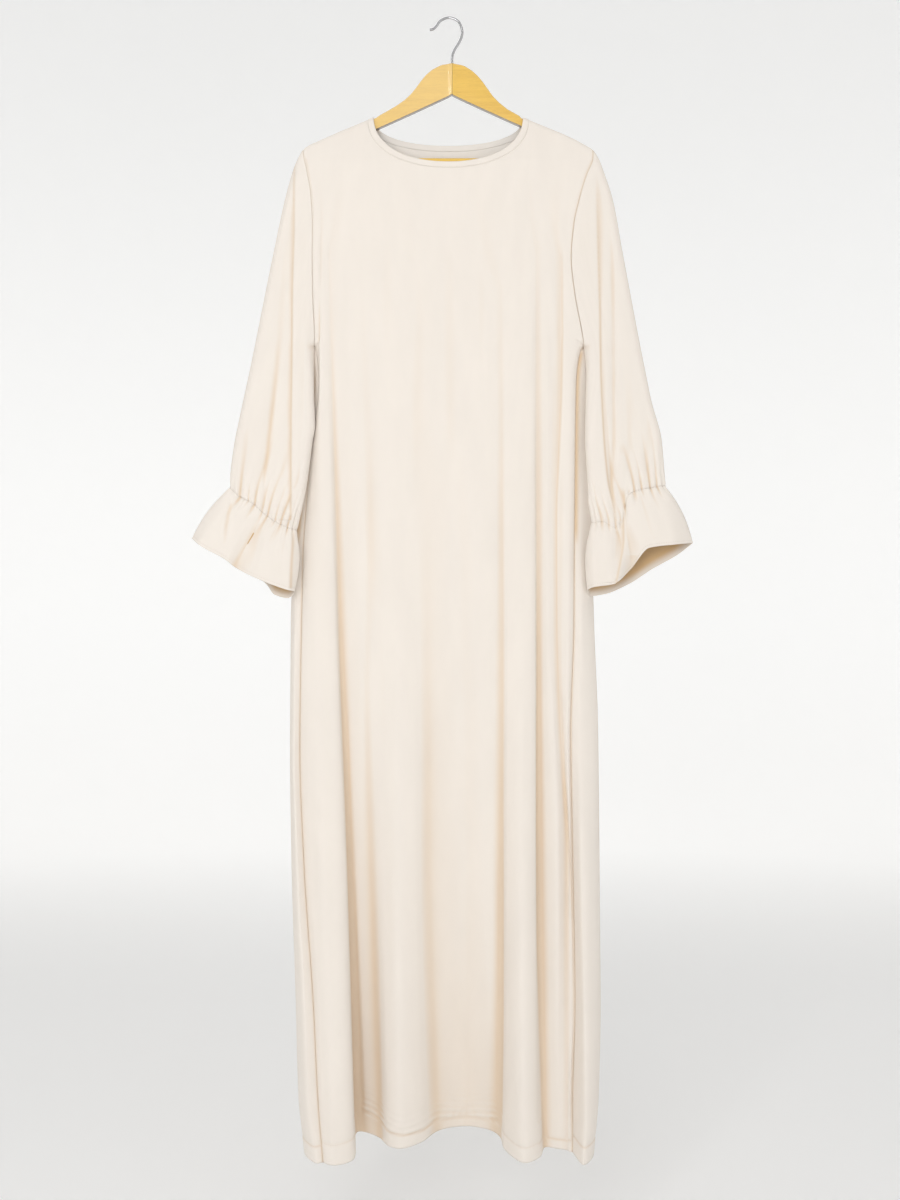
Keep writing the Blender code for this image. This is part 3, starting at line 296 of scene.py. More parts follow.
# Random seeds
FRONT_SEED = 3
BACK_SEED = 5
SLEEVE_SEED = 11
FLOUNCE_SEED = 21
HEM_PUCKER_SEED = 30
GATHER_SEED = 40
# How far from an edge a relief has its full depth
QUIET_EDGE = 25.0                          # swells
QUIET_TOP = (10.0, 80.0)                   # start and reach of the swells below the shoulders
CREASE_EDGE = 12.0                         # creases of a panel, a sleeve and a flounce
SLEEVE_CREASE_EDGE = 10.0
FLOUNCE_CREASE_EDGE = 6.0
HEM_PUCKER_EDGE = 8.0
HOLLOW_REACH = 5.5                         # how far round a point its surroundings are
HOLLOW_DEPTH = 1.25                        # a valley this deep gets the full painted shade
BACK_HOLLOW_DEPTH = 2.3                    # the same on the back panel
PAINTED_SHADE_FULL = 2.0                          # painted shade at which the crepe has its painted valley colour in full
PAINTED_LIGHT_FULL = -0.6                          # and painted light at which it has its painted crest colour in full
SEAM_DITCH = (1.0, 1.9)                    # depth and half width of the cloth's dip at a seam
SEAM_SHADE = 1.6                           # how far the shade of a seam reaches
SEAM_DARK = 0.8                            # shade in the middle of a seam
# Painted shade of the inside of the cloth, warm where it lies in shadow; below 0 it is painted
# light
INSIDE_SHADES = {"panel": -0.7, "sleeve": 1.2, "cuff": 2.0}
CUFF_RIM_SHADE = 0.3                       # the same at a flounce's edge, where light reaches in
CUFF_RIM = (2.0, 13.0)                     # from the edge, where it begins and ends to darken
# Shade of the body's side behind each sleeve: distance from the side seam, half width and shade
BEHIND_SLEEVE = {"left": (9.0, 3.5, 1.5), "right": (1.0, 4.0, 1.5)}
BEHIND_SLEEVE_FADE = (12.0, -745.0, 30.0)  # fade at the underarm, lower end and its fade
LEFT_SEAM_SHADE_STARTS = (-560.0, -700.0)         # where the left side seam's painted shade begins and is full
# Hem seams: x, distance from the edge and how much painted shade the seam's line gets
FRONT_HEM = ((-150, 26, 0.15), (-128, 28, 0.3), (-118, 28, 0.85), (-100, 25, 0.8), (-82, 20, 0.75),
             (-50, 17, 0.8), (-10, 13, 0.85), (55, 13, 0.8), (75, 19, 0.2), (118, 20, 0.15),
             (135, 13, 0.7), (160, 13, 0.6), (180, 22, 0.1))
BACK_HEM = ((-160, 22, 0.5), (160, 22, 0.5))
HEM_DITCH = (0.7, 1.6)                     # depth and half width of the hem's seam
HEM_PROUD = (0.35, 2.0)                    # how far the folded hem stands out, and how soon
HEM_PUCKER_PITCH = 11.0
HEM_PUCKER_BELOW = 3                       # reach of the puckers below the hem's seam
HEM_RIPPLES = (1.3, 8.5, 14.0, -130.0, 78.0)      # depth, pitch, reach, and x from and to
HEM_RIPPLE_FADES = (1.5, 13.0, 3.0, 15.0)  # sway and its length, rise at the foot and at the ends
CUFF_HEM_DEPTH = 4.0
CUFF_HEM_DITCH = (0.3, 0.9)
STEP_LINE = (1.7, 0.9)                     # half width and shade of the line of a step
# In stitch lengths: start of the first one, from stitch to stitch, and taper at each end
STITCH_START = 0.4
STITCH_PITCH = 1.25
STITCH_TAPER = 0.22
THREAD_RADIUS = 0.17
THREAD_SIDES = 5
THREAD_SINK = 0.1

# Creases: kind, depth, half width and line of z, x and share of the depth
FRONT_CREASES = (
    ("valley", 2.2, 6, ((-307.1, -170.6, 0), (-341.9, -169.2, 0.15), (-425.4, -166.3, 0.4),
      (-508.8, -162, 0.6), (-675.3, -154.7, 0.8), (-841, -149.5, 0.9), (-1005.8, -143.6, 1),
      (-1169.7, -137, 1), (-1332, -131, 1), (-1473, -125.1, 0.9), (-1526.4, -122.2, 0.7))),
    ("valley", 1.2, 2.6, ((-439.3, -163.5, 0), (-592.1, -158.3, 0.4), (-841, -150.2, 0.7),
      (-1005.8, -141.5, 1), (-1169.7, -134.3, 1), (-1332, -127.6, 1), (-1473, -123, 1),
      (-1539.7, -120.8, 0.8))),
    ("valley", -1, 8, ((-425.4, -181.5, 0), (-675.3, -175.4, 0.5), (-951, -162.3, 0.8),
      (-1169.7, -154.8, 1), (-1412.7, -145.7, 1), (-1533.1, -139.8, 0.6))),
    ("valley", 0.8, 7, ((-592.1, -112, 0), (-758.2, -111.7, 0.7), (-923.5, -113.5, 1),
      (-1087.8, -111.1, 1), (-1251, -106.6, 1), (-1412.7, -102.1, 0.6), (-1506.4, -93.7, 0))),
    ("valley", 0.6, 12, ((-730.6, -34.5, 0), (-868.5, -33, 0.6), (-1033.2, -31.6, 1),
      (-1169.7, -32.9, 1), (-1305, -30, 1), (-1452.9, -25.8, 0.6), (-1533.1, -24.4, 0))),
    ("valley", -0.8, 9, ((-758.2, -73.1, 0), (-951, -72.9, 0.7), (-1169.7, -71.2, 1),
      (-1412.7, -69.4, 1), (-1533.1, -67.9, 0.4))),
    ("valley", 0.45, 10, ((-328, 80.5, 0), (-536.6, 80.3, 0.8), (-758.2, 74.5, 1),
      (-1087.8, 72.8, 1), (-1251, 72.5, 1.2), (-1412.7, 70.9, 1.3), (-1519.7, 69.3, 1))),
    ("valley", 1.1, 7, ((-1087.8, 72.8, 0), (-1223.9, 72.6, 0.5), (-1332, 72.4, 0.9),
      (-1439.5, 70.1, 1), (-1533.1, 68.6, 0.8))),
    ("valley", -0.9, 9, ((-758.2, 98, 0), (-1033.2, 98.9, 0.7), (-1278, 98.4, 1),
      (-1479.6, 97.9, 1), (-1546.4, 97.8, 0.5))),
    ("valley", 1.2, 7, ((-341.9, 122.1, 0), (-439.3, 122.6, 0.5), (-592.1, 123.1, 0.8),
      (-841, 124.1, 1), (-1169.7, 123.3, 1), (-1358.9, 122.8, 1), (-1506.4, 123.7, 0.8),
      (-1559.7, 124.9, 0.5))),
    ("valley", 1.3, 3, ((-758.2, 122.8, 0), (-923.5, 123.9, 0.6), (-1169.7, 123.3, 1),
      (-1358.9, 122.8, 1), (-1519.7, 123.6, 1))),
    ("step", 1.8, -2.6, ((-314.1, 155.4, 0), (-355.8, 156.7, 0.5), (-453.2, 156.6, 0.9),
      (-536.6, 155, 1), (-606, 152.1, 1), (-702.9, 148.5, 1), (-841, 148.9, 1), (-923.5, 150.7, 1),
      (-1005.8, 153.9, 0.9), (-1087.8, 160.6, 0.8), (-1183.3, 167.1, 0.7), (-1305, 170.7, 0.6),
      (-1439.5, 171.5, 0.5), (-1519.7, 169.8, 0.3))),
    ("valley", 0.9, 4, ((-397.5, 141.4, 0), (-564.4, 143.9, 0.6), (-758.2, 139.4, 0.8),
      (-951, 140.3, 0.8), (-1060.5, 146.9, 0.4), (-1169.7, 154.9, 0))),
    ("valley", -0.7, 6, ((-758.2, 161.4, 0), (-923.5, 159.7, 0.8), (-1005.8, 162.2, 0.5),
      (-1169.7, 172.7, 0.6), (-1332, 178.8, 0.8), (-1493, 183.5, 0.6))),
    ("valley", 1.2, 3.2, ((-1033.2, 155.2, 0), (-1087.8, 160.6, 0.7), (-1183.3, 167.1, 1),
      (-1332, 171.3, 1), (-1479.6, 172.7, 1), (-1533.1, 169.1, 0.6))),
    ("valley", 0.35, 9, ((-300.2, 0, 0), (-397.5, 0, 0.8), (-536.6, 1.4, 1), (-633.7, 4.2, 0))),
    ("valley", 0.35, 8, ((-314.1, 45.8, 0), (-425.4, 45.7, 1), (-564.4, 48.4, 0.8),
      (-647.6, 51.1, 0))),
    ("valley", 0.3, 9, ((-341.9, -40.2, 0), (-481, -42.9, 1), (-633.7, -48.4, 0.6),
      (-758.2, -51, 0))),
    ("valley", 0.3, 12, ((-258.4, -81.8, 0), (-397.5, -87.3, 1), (-564.4, -89.9, 0.7),
      (-702.9, -91.1, 0))),
    ("valley", 0.9, 4, ((-813.4, -204, 0), (-923.5, -205, 1), (-1033.2, -204.6, 1),
      (-1142.4, -201.5, 0.5), (-1223.9, -197, 0))),
)
BACK_CREASES = (
    ("valley", 1.7, 7, ((-330, 72, 0), (-450, 79, 0.4), (-851, 95, 0.9), (-1178, 105, 1),
      (-1540, 108, 0.8))),
    ("valley", 1.1, 3, ((-520, 84, 0), (-851, 97, 0.7), (-1178, 107, 1), (-1530, 110, 0.9))),
    ("valley", 1.5, 8, ((-400, -3, 0), (-620, 1, 0.5), (-851, 5, 0.9), (-1178, 5, 1),
      (-1540, 6, 0.8))),
    ("valley", 0.8, 3, ((-760, 2, 0), (-1000, 4, 0.8), (-1300, 3, 1), (-1500, 5, 0.4))),
    ("valley", 1.7, 7, ((-320, -74, 0), (-500, -83, 0.5), (-851, -95, 0.9), (-1178, -105, 1),
      (-1540, -110, 0.8))),
    ("valley", 1.0, 3, ((-600, -88, 0), (-851, -98, 0.8), (-1178, -108, 1), (-1500, -112, 0.7))),
    ("step", 1.4, 2.6, ((-420, 126, 0), (-700, 133, 0.6), (-1000, 139, 1), (-1350, 144, 0.8),
      (-1520, 146, 0.3))),
    ("step", 1.5, -2.6, ((-460, -128, 0), (-760, -135, 0.7), (-1060, -143, 1), (-1380, -149, 0.8),
      (-1530, -152, 0.3))),
    ("valley", -0.8, 9, ((-560, 40, 0), (-851, 50, 0.8), (-1178, 55, 1), (-1520, 58, 0.5))),
    ("valley", -0.8, 9, ((-600, -42, 0), (-900, -49, 0.8), (-1178, -56, 1), (-1520, -60, 0.5))),
    ("valley", 0.8, 5, ((-700, 28, 0), (-900, 31, 1), (-1200, 33, 0.8), (-1420, 36, 0))),
    ("valley", 0.8, 5, ((-640, -66, 0), (-860, -72, 0.9), (-1160, -79, 1), (-1440, -84, 0))),
    ("valley", 0.6, 6, ((-240, 96, 0), (-300, 84, 1), (-380, 62, 0.8), (-450, 44, 0))),
    ("valley", 0.6, 6, ((-236, -98, 0), (-300, -86, 1), (-370, -66, 0.8), (-440, -46, 0))),
    ("valley", 0.8, 4, ((-470, 163, 0), (-620, 168, 1), (-820, 172, 0.6), (-960, 176, 0))),
    ("valley", 0.8, 4, ((-480, -166, 0), (-660, -175, 1), (-860, -181, 0.6), (-1000, -184, 0))),
)
SLEEVE_CREASES = {
    -1: (
    ("step", 3.4, -1.8, ((-204.4, -213.1, 0), (-220.9, -214.5, 0.6), (-301, -215.3, 0.9),
      (-397.7, -217.6, 1), (-537.7, -217.8, 1), (-649.1, -216.9, 1), (-704.2, -216.4, 0.8))),
    ("valley", 2.2, 8, ((-259.6, -225.7, 0), (-370, -230, 0.4), (-467, -236.2, 0.8),
      (-537.7, -243.3, 1), (-593.7, -247.8, 1.1), (-663, -251.6, 0.8), (-697.3, -249.9, 0.3))),
    ("valley", 0.9, 3, ((-439.1, -234.2, 0), (-537.7, -242.6, 0.8), (-593.7, -248.5, 1),
      (-649.1, -253.2, 1), (-687.7, -255.4, 0.5))),
    ("valley", 1.2, 7, ((-495.4, -273.8, 0), (-537.7, -277, 0.5), (-593.7, -283.5, 1),
      (-649.1, -288.8, 1), (-674, -288.4, 0.3))),
    ("valley", -0.9, 9, ((-439.1, -259.2, 0), (-537.7, -261.9, 0.6), (-607.6, -267.5, 1),
      (-663, -270.8, 0.6))),
    ("valley", 0.7, 4, ((-579.8, -226.7, 0), (-635.3, -227.4, 0.6), (-697.3, -225.3, 1))),
    ("valley", 0.5, 4, ((-593.7, -205.9, 0), (-649.1, -206.7, 0.8), (-704.2, -207.5, 1))),
    ("valley", 0.5, 6, ((-439.1, -202.4, 0), (-523.6, -201.4, 0.8), (-607.6, -204.4, 0.4),
      (-663, -205.1, 0))),
    ),
    1: (
    ("step", 2.8, 1.9, ((-225.1, 204.9, 0), (-259.6, 205.6, 0.6), (-328.6, 207.1, 0.9),
      (-411.5, 209.3, 1), (-495.4, 210.2, 1), (-579.8, 213, 1), (-642.2, 217.7, 1),
      (-683.6, 225.5, 0.8), (-704.2, 229.4, 0.3))),
    ("valley", 2.4, 4.2, ((-287.2, 224.4, 0), (-342.4, 226.5, 0.5), (-425.3, 228, 0.8),
      (-537.7, 227.4, 1), (-607.6, 226.4, 1), (-663, 223, 0.6), (-690.5, 222.7, 0))),
    ("valley", 1, 2.6, ((-537.7, 216.4, 0), (-593.7, 219.7, 0.8), (-649.1, 223.1, 1),
      (-693.2, 228.1, 0.6))),
    ("valley", 0.8, 6, ((-509.5, 248.6, 0), (-593.7, 248.6, 1), (-649.1, 243.7, 0.8),
      (-683.6, 240.5, 0))),
    ("valley", 0.8, 6, ((-537.7, 274.3, 0), (-593.7, 276, 0.8), (-635.3, 272.6, 1),
      (-660.2, 272.2, 0.3))),
    ("valley", -0.8, 7, ((-509.5, 237.6, 0), (-593.7, 237.6, 1), (-649.1, 234.1, 0.6),
      (-676.7, 232.4, 0))),
    ("valley", -0.7, 7, ((-523.6, 263.6, 0), (-593.7, 263.7, 1), (-649.1, 260.1, 0.6))),
    ("valley", 0.6, 5, ((-467, 199.6, 0), (-565.8, 198.1, 0.7), (-649.1, 198.5, 0.8),
      (-690.5, 200.8, 0.3))),
    ),
}
FLOUNCE_CREASES = {
    -1: (
    ("valley", 1.6, 4, ((-668.5, -298, 0), (-683.6, -299.2, 1), (-711, -303, 0.8),
      (-742.4, -305.7, 0))),
    ("valley", 0.8, 6, ((-683.6, -255.5, 0), (-701.4, -258, 1), (-731.5, -264.7, 0.9),
      (-764.3, -271.6, 0))),
    ("valley", -1.2, 7, ((-704.2, -245.7, 0), (-738.3, -252.5, 0.9), (-775.2, -260.7, 0.3))),
    ("valley", 1, 4, ((-709.7, -223.8, 0), (-738.3, -225.2, 0.7), (-779.3, -226.6, 0.2))),
    ("step", 1.6, 2, ((-715.1, -212.9, 0), (-731.5, -212.9, 0.8), (-765.6, -214.3, 1),
      (-797, -215.7, 0.9))),
    ("valley", 0.8, 8, ((-683.6, -321, 0), (-711, -323.5, 0.7), (-738.3, -327.5, 0))),
    ),
    1: (
    ("step", 2.4, -2.2, ((-668.5, 239.3, 0), (-683.6, 239.1, 0.8), (-728.8, 238.9, 1),
      (-765.6, 233.5, 1), (-790.2, 228.7, 0.8))),
    ("valley", 1.4, 5, ((-715.1, 233.4, 0), (-738.3, 230.7, 0.8), (-772.4, 222.5, 0.5),
      (-791.6, 215.7, 0.2))),
    ("valley", 1, 5, ((-711, 202, 0), (-738.3, 204.8, 0.8), (-779.3, 206.2, 0.4))),
    ("valley", 0.9, 7, ((-665.7, 261.2, 0), (-690.5, 267.8, 0.8), (-728.8, 277.1, 0.3))),
    ("valley", 0.8, 6, ((-661.6, 281.8, 0), (-683.6, 288.3, 0.8), (-724.7, 298.9, 0.2))),
    ("valley", -0.9, 8, ((-672.6, 247.4, 0), (-704.2, 249.9, 1), (-752, 252.6, 0.6))),
    ),
}
PUCKER_PITCH = 0.045                       # round the ring, between the elastic's small puckers
PUCKER_LIMITS = ((0.6, 2.2), (0.010, 0.018), (4, 14))     # depth, width round the ring and reach
ELASTIC_PULL = (0.35, 4.0)                 # depth and half width of the dip over the elastic
FLOUNCE_REACH = 0.5                        # share of a gather's reach that shows on the flounce
# Gathers at the elastic, round the ring: place of 0 to 2 from the outer edge by the front, depth,
# half width, reach up the sleeve and down the flounce
GATHERS = {
    -1: ((0.06, 1.8, 0.020, 40, 20), (0.16, 2.4, 0.026, 60, 34), (0.27, 1.6, 0.018, 30, 22),
         (0.36, 2.6, 0.030, 75, 40), (0.47, 1.9, 0.020, 45, 26), (0.55, 2.8, 0.026, 60, 50),
         (0.66, 1.8, 0.020, 40, 26), (0.75, 2.5, 0.024, 60, 34), (0.86, 2.0, 0.020, 40, 22),
         (0.95, 2.2, 0.022, 46, 26), (1.06, 2.2, 0.024, 46, 26), (1.17, 1.8, 0.020, 50, 30),
         (1.28, 2.5, 0.028, 60, 34), (1.41, 2.0, 0.022, 44, 24), (1.52, 2.6, 0.028, 66, 40),
         (1.64, 1.8, 0.020, 40, 24), (1.75, 2.4, 0.026, 60, 34), (1.88, 2.0, 0.024, 50, 28)),
    1: ((0.05, 1.8, 0.020, 40, 20), (0.13, 2.2, 0.022, 60, 30), (0.22, 2.4, 0.026, 70, 36),
        (0.33, 2.0, 0.022, 44, 26), (0.42, 2.4, 0.022, 56, 30), (0.55, 2.6, 0.024, 50, 40),
        (0.62, 1.8, 0.016, 30, 20), (0.69, 2.2, 0.020, 40, 26), (0.78, 1.8, 0.020, 40, 24),
        (0.87, 2.4, 0.024, 50, 30), (0.96, 2.0, 0.020, 44, 22), (1.08, 2.2, 0.024, 46, 26),
        (1.19, 1.8, 0.020, 50, 30), (1.30, 2.5, 0.028, 60, 34), (1.42, 2.0, 0.022, 44, 24),
        (1.53, 2.6, 0.028, 66, 40), (1.65, 1.8, 0.020, 40, 24), (1.76, 2.4, 0.026, 60, 34),
        (1.89, 2.0, 0.024, 50, 28)),
}


# Stage, in metres
FLOOR_Z = -1.70
STAGE_RADIUS = 4.6
STAGE_HEIGHT = 4.4
STAGE_COVE = 1.3
WALL_FULL_Z = -0.8            # above this the backdrop has its wall colour
WALL_DIM_Z = 2.4              # from there up to here the wall's painted glow fades
WALL_TOP_GLOW = 0.4           # to this share
PAINTED_GLOW_Y = (1.2, 3.6)           # where the painted glow begins behind the hanger and is full
CAMERA_PLACE = (0.0014, -2.1, -0.8134)
CAMERA_LENS = 45.0
# Lights: name, place, turn in degrees, width and height, share of the key power
LIGHTS = (
    ("key_light", (-0.45, -2.0, -0.5), (88, 0, -13), (1.0, 1.0), 1.0),
    ("fill_light", (2.0, -3.0, -0.6), (88, 0, 34), (1.6, 2.4), 0.55),
    ("strip_light", (-0.75, -1.9, 0.55), (72, 0, -21.5), (0.09, 0.6), 0.16),
)

# Curves

def ease(t):
    t = np.clip(t, 0.0, 1.0)
    return t * t * (3.0 - 2.0 * t)


def round_off(t):
    """Height of a quarter circle of radius 1 at a distance t from its foot."""
    return np.sqrt(np.maximum(1.0 - (1.0 - np.clip(t, 0.0, 1.0)) ** 2, 0.0))


def table_at(rows, key, column):
    """Value of a table's column at one key or an array of keys, on a smooth curve."""
    pairs = sorted((row[0], float(row[column])) for row in rows)
    keys, values = np.array(pairs).T
    steps = np.diff(keys)
    rises = np.diff(values) / steps
    slopes = np.zeros(len(keys))
    slopes[0], slopes[-1] = rises[0], rises[-1]
    same_way = rises[:-1] * rises[1:] > 0
    total = np.where(same_way, rises[:-1] + rises[1:], 1.0)
    slopes[1:-1] = np.where(same_way, 2 * rises[:-1] * rises[1:] / total, 0.0)
    key = np.clip(key, keys[0], keys[-1])
    i = np.clip(np.searchsorted(keys, key) - 1, 0, len(keys) - 2)
    t = (key - keys[i]) / steps[i]
    bend = t * (1 - t) * ((slopes[i] - rises[i]) * (1 - t) - (slopes[i + 1] - rises[i]) * t)
    return values[i] + (rises[i] * t + bend) * steps[i]


def curve_rows(points, counts):
    """Smooth curves through rows of control points, from the second to the last but one of each."""
    def step(a, b):
        return np.maximum(np.linalg.norm(b - a, axis=-1, keepdims=True), 1e-6) ** 0.5

    parts = []
    for k, count in enumerate(counts):
        p0, p1, p2, p3 = (points[:, None, k + j] for j in range(4))
        t1 = step(p0, p1)
        t2 = t1 + step(p1, p2)
        t3 = t2 + step(p2, p3)
        t = t1 + (t2 - t1) * (np.arange(count) / count)[None, :, None]
        a1 = ((t1 - t) * p0 + t * p1) / t1
        a2 = ((t2 - t) * p1 + (t - t1) * p2) / (t2 - t1)
        a3 = ((t3 - t) * p2 + (t - t2) * p3) / (t3 - t2)
        b1 = ((t2 - t) * a1 + t * a2) / t2
        b2 = ((t3 - t) * a2 + (t - t1) * a3) / (t3 - t1)
        parts.append(((t2 - t) * b1 + (t - t1) * b2) / (t2 - t1))
    parts.append(points[:, None, -2])
    return np.concatenate(parts, axis=1)


def finer(values, counts):
    """A list of values with each step cut into equal parts."""
    result = [values[0]]
    for a, b, count in zip(values, values[1:], counts):
        result += [a + (b - a) * (k + 1) / count for k in range(count)]
    return np.array(result)


# The cloth over the hanger

def ridge_z(x):
    (left_x, left_z), (right_x, _) = RIDGE_LEFT[-1], RIDGE_RIGHT[0]
    over = np.interp(x, *zip(*(RIDGE_LEFT + RIDGE_RIGHT)))
    between = (left_x < x) & (x < right_x)
    return np.where(between, left_z + ARM_LOWER_SLOPE * np.minimum(x - left_x, right_x - x), over)


def ridge_y(x):
    return -ARM_SWEEP * (x / ARM_REACH) ** 2


def front_top_y(x, z):
    """Depth of the front between the shoulders and the trouser bar."""
    ridge = ridge_z(x)
    face = ridge_y(x) - RIDGE_HALF_DEPTH
    fall = np.maximum(ridge - RIDGE_ROUND - BAR_Z, 1.0)
    lean = np.clip((ridge - RIDGE_ROUND - z) / fall, 0.0, 1.0)
    return face + RIDGE_HALF_DEPTH * (1 - round_off((ridge - z) / RIDGE_ROUND)) \
        + (CLOTH_AT_BAR_Y - face) * lean


def back_top_y(x, z):
    return ridge_y(x) + RIDGE_HALF_DEPTH * round_off((ridge_z(x) - z) / RIDGE_ROUND)


def neck_points(angles, widening, centre_z, depth_at):
    """Points of the neckline, from the left shoulder (-90 degrees) to the right one (90)."""
    angles = np.radians(angles)
    power = 2.0 / NECK_SQUARENESS
    side = np.where(angles < 0, -1.0, 1.0)
    half = NECK_HALF_WIDTH + widening
    x = NECK_CENTRE_X + side * half * np.abs(np.sin(angles)) ** power
    corner_z = ridge_z(NECK_CENTRE_X + side * half)
    drop = np.maximum(np.cos(angles), 0.0) ** power
    z = corner_z - (corner_z - centre_z + widening) * drop
    return np.column_stack((x, depth_at(x, z), z))


def neck_angles(columns):
    """Angles of the columns round half the neck, closer together where it crosses the shoulders."""
    places = 2.0 * np.arange(columns + 1) / columns - 1.0
    return np.copysign(90.0 * (1.0 - (1.0 - np.abs(places)) ** NECK_CORNER_POWER), places)


def closing(z):
    """How far the armhole has closed: 0 above the underarm's curve, 1 at the underarm."""
    return 1.0 - round_off((z - UNDERARM_Z) / UNDERARM_ROUND)


def armhole_points(side, z, face, shut=None):
    """Points of an armhole seam. side is -1 left or 1 right, and face is -1 front or 1 back."""
    x = table_at(ARMHOLES, z, 1 if side < 0 else 2)
    share = (SHOULDER_Z - z) / (SHOULDER_Z - UNDERARM_Z)
    mid = ARMHOLE_MID_Y[0] + (ARMHOLE_MID_Y[1] - ARMHOLE_MID_Y[0]) * share
    half = ARMHOLE_HALF_DEPTH * round_off((SHOULDER_Z - z) / RIDGE_ROUND)
    half = half * (1.0 - (closing(z) if shut is None else shut))
    return np.column_stack((x, mid + face * half, z))


# Front and back panels

def fold_at(fold, z):
    """x and y of a fold line from the chest down."""
    return np.column_stack([
        table_at([(level, fold[2 + k][j]) for k, level in enumerate(STATIONS)], z, 1)
        for j in range(2)])


def side_lines(side, z):
    """Front's turn, front seam, back seam, crest and edge of the fold at a side."""
    table = SIDE_LEFT if side < 0 else SIDE_RIGHT
    turn, seam, crest, edge = (np.column_stack((table_at(table, z, k), table_at(table, z, k + 1)))
                               for k in (1, 3, 5, 7))
    low = (z < UNDERARM_Z)[:, None]
    seam_f = np.where(low, seam, armhole_points(side, z, -1)[:, :2])
    seam_b = np.where(low, seam, armhole_points(side, z, 1)[:, :2])
    lines = []
    for face, step, below in ((-1, FRONT_TURN_TOP_STEP, turn), (1, SIDE_WRAP_TOP_STEPS[0], crest),
                              (1, SIDE_WRAP_TOP_STEPS[1], edge)):
        start = armhole_points(side, z, face, shut=0.0)[:, :2] - np.array((side * step, 0.0))
        lines.append(np.where(low, below, start + (below - start) * closing(z)[:, None]))
    return lines[0], seam_f, seam_b, lines[1], lines[2]


def body_rings(z):
    """Control points at each height, of the front and of the back, both with their seams."""
    left = side_lines(-1, z)
    right = side_lines(1, z)
    front = [left[1], left[0]] + [fold_at(fold, z) for fold in FRONT_FOLDS] + [right[0], right[1]]
    back = ([right[2], right[3], right[4]] + [fold_at(fold, z) for fold in BACK_FOLDS]
            + [left[4], left[3], left[2]])
    return np.stack(front, axis=1), np.stack(back, axis=1)


def with_ends(lines, before, after, share):
    """Lines with an extra control point at each end, straight on where the seam is still open."""
    first = 2 * lines[:, 0] - lines[:, 1]
    last = 2 * lines[:, -1] - lines[:, -2]
    share = share[:, None]
    first = first + (before - first) * share
    last = last + (after - last) * share
    return np.concatenate((first[:, None], lines, last[:, None]), axis=1)


def neck_corners(folds, counts, lead, neck_lines):
    names = [fold[0] for fold in folds]
    return tuple(sum(counts[:names.index(name) + lead]) for name in neck_lines)


def top_edge(folds, counts, lead, side_tops, neck_lines, centre_z, depth_at):
    """Top boundary of a panel: shoulder, neckline, shoulder, as a point for each column."""
    first, last = neck_corners(folds, counts, lead, neck_lines)
    angles = neck_angles(last - first)
    if side_tops[0] > 0:
        angles = angles[::-1]
    tops = list(side_tops[:lead]) + [fold[1] for fold in folds] + list(side_tops[lead:])
    known = [(sum(counts[:k]), x) for k, x in enumerate(tops) if x is not None]
    x = np.interp(np.arange(sum(counts) + 1), *zip(*known))
    points = np.column_stack((x, ridge_y(x), ridge_z(x)))
    points[first:last + 1] = neck_points(angles, NECK_BAND_WIDTH, centre_z, depth_at)
    return points


def hem_height(y):
    return HEM_Z + HEM_RISE * (np.minimum(y, HEM_RISE_BACK_LIMIT) - HEM_CREST_Y)


def arm_drops():
    return finer(ARM_DROPS, ARM_STEPS)


def panel_columns():
    """Numbers of columns between neighbouring lines of the front and of the back."""
    front = [FRONT_SIDE_COLUMNS] * 2 + [fold[-1] for fold in FRONT_FOLDS] + [FRONT_SIDE_COLUMNS]
    back = (list(SIDE_WRAP_COLUMNS) + [fold[-1] for fold in BACK_FOLDS]
            + list(SIDE_WRAP_COLUMNS[1::-1]))
    return tuple([FINER_COLUMNS * count for count in counts] for counts in (front, back))


def body_panels():
    """Grids of the outer faces of the front and of the back: rows down, columns round."""
    front_counts, back_counts = panel_columns()
    _, left_x, right_x = ARMHOLES[0]
    turn, (crest, edge) = FRONT_TURN_TOP_STEP, SIDE_WRAP_TOP_STEPS
    tops_front = (left_x, left_x + turn, right_x - turn, right_x)
    tops_back = (right_x, right_x - crest, right_x - edge, left_x + edge, left_x + crest, left_x)
    top_f = top_edge(FRONT_FOLDS, front_counts, 2, tops_front, FRONT_NECK_LINES, NECK_FRONT_Z,
                     front_top_y)
    top_b = top_edge(BACK_FOLDS, back_counts, 3, tops_back, BACK_NECK_LINES, NECK_BACK_Z,
                     back_top_y)
    corners = (neck_corners(FRONT_FOLDS, front_counts, 2, FRONT_NECK_LINES),
               neck_corners(BACK_FOLDS, back_counts, 3, BACK_NECK_LINES))
    rows = np.concatenate((SHOULDER_Z - arm_drops(),
                           finer((UNDERARM_Z,) + SIDE_HEIGHTS, SIDE_STEPS)[1:]))
    levels = np.append(rows, CHEST_Z)
    front, back = body_rings(levels)
    share = closing(levels)
    lines = (curve_rows(with_ends(front, back[:, -2], back[:, 1], share), front_counts),
             curve_rows(with_ends(back, front[:, -2], front[:, 1], share), back_counts))
    grids = []
    for k, (top, depth_at, face) in enumerate(((top_f, front_top_y, -1), (top_b, back_top_y, 1))):
        line = lines[k][:-1]
        hem = hem_height(line[-1, :, 1])
        share = ((SHOULDER_Z - rows) / (SHOULDER_Z - HEM_Z))[:, None]
        heights = top[:, 2] + (hem - top[:, 2]) * share
        grid = np.dstack((line, heights))
        upper = rows >= CHEST_Z
        grid[upper, :, :2] = upper_rows(rows[upper], top, lines[k][-1], heights[upper], depth_at,
                                        face, corners[k])
        grids.append(grid)
    front, back = grids
    above = rows >= UNDERARM_Z
    for grid, face, left, right in ((front, -1, 0, -1), (back, 1, -1, 0)):
        grid[above, left] = armhole_points(-1, rows[above], face)
        grid[above, right] = armhole_points(1, rows[above], face)
    for column_f, column_b in SEAM_COLUMNS:
        back[~above, column_b] = front[~above, column_f]
    return front, back, (front_counts, back_counts)


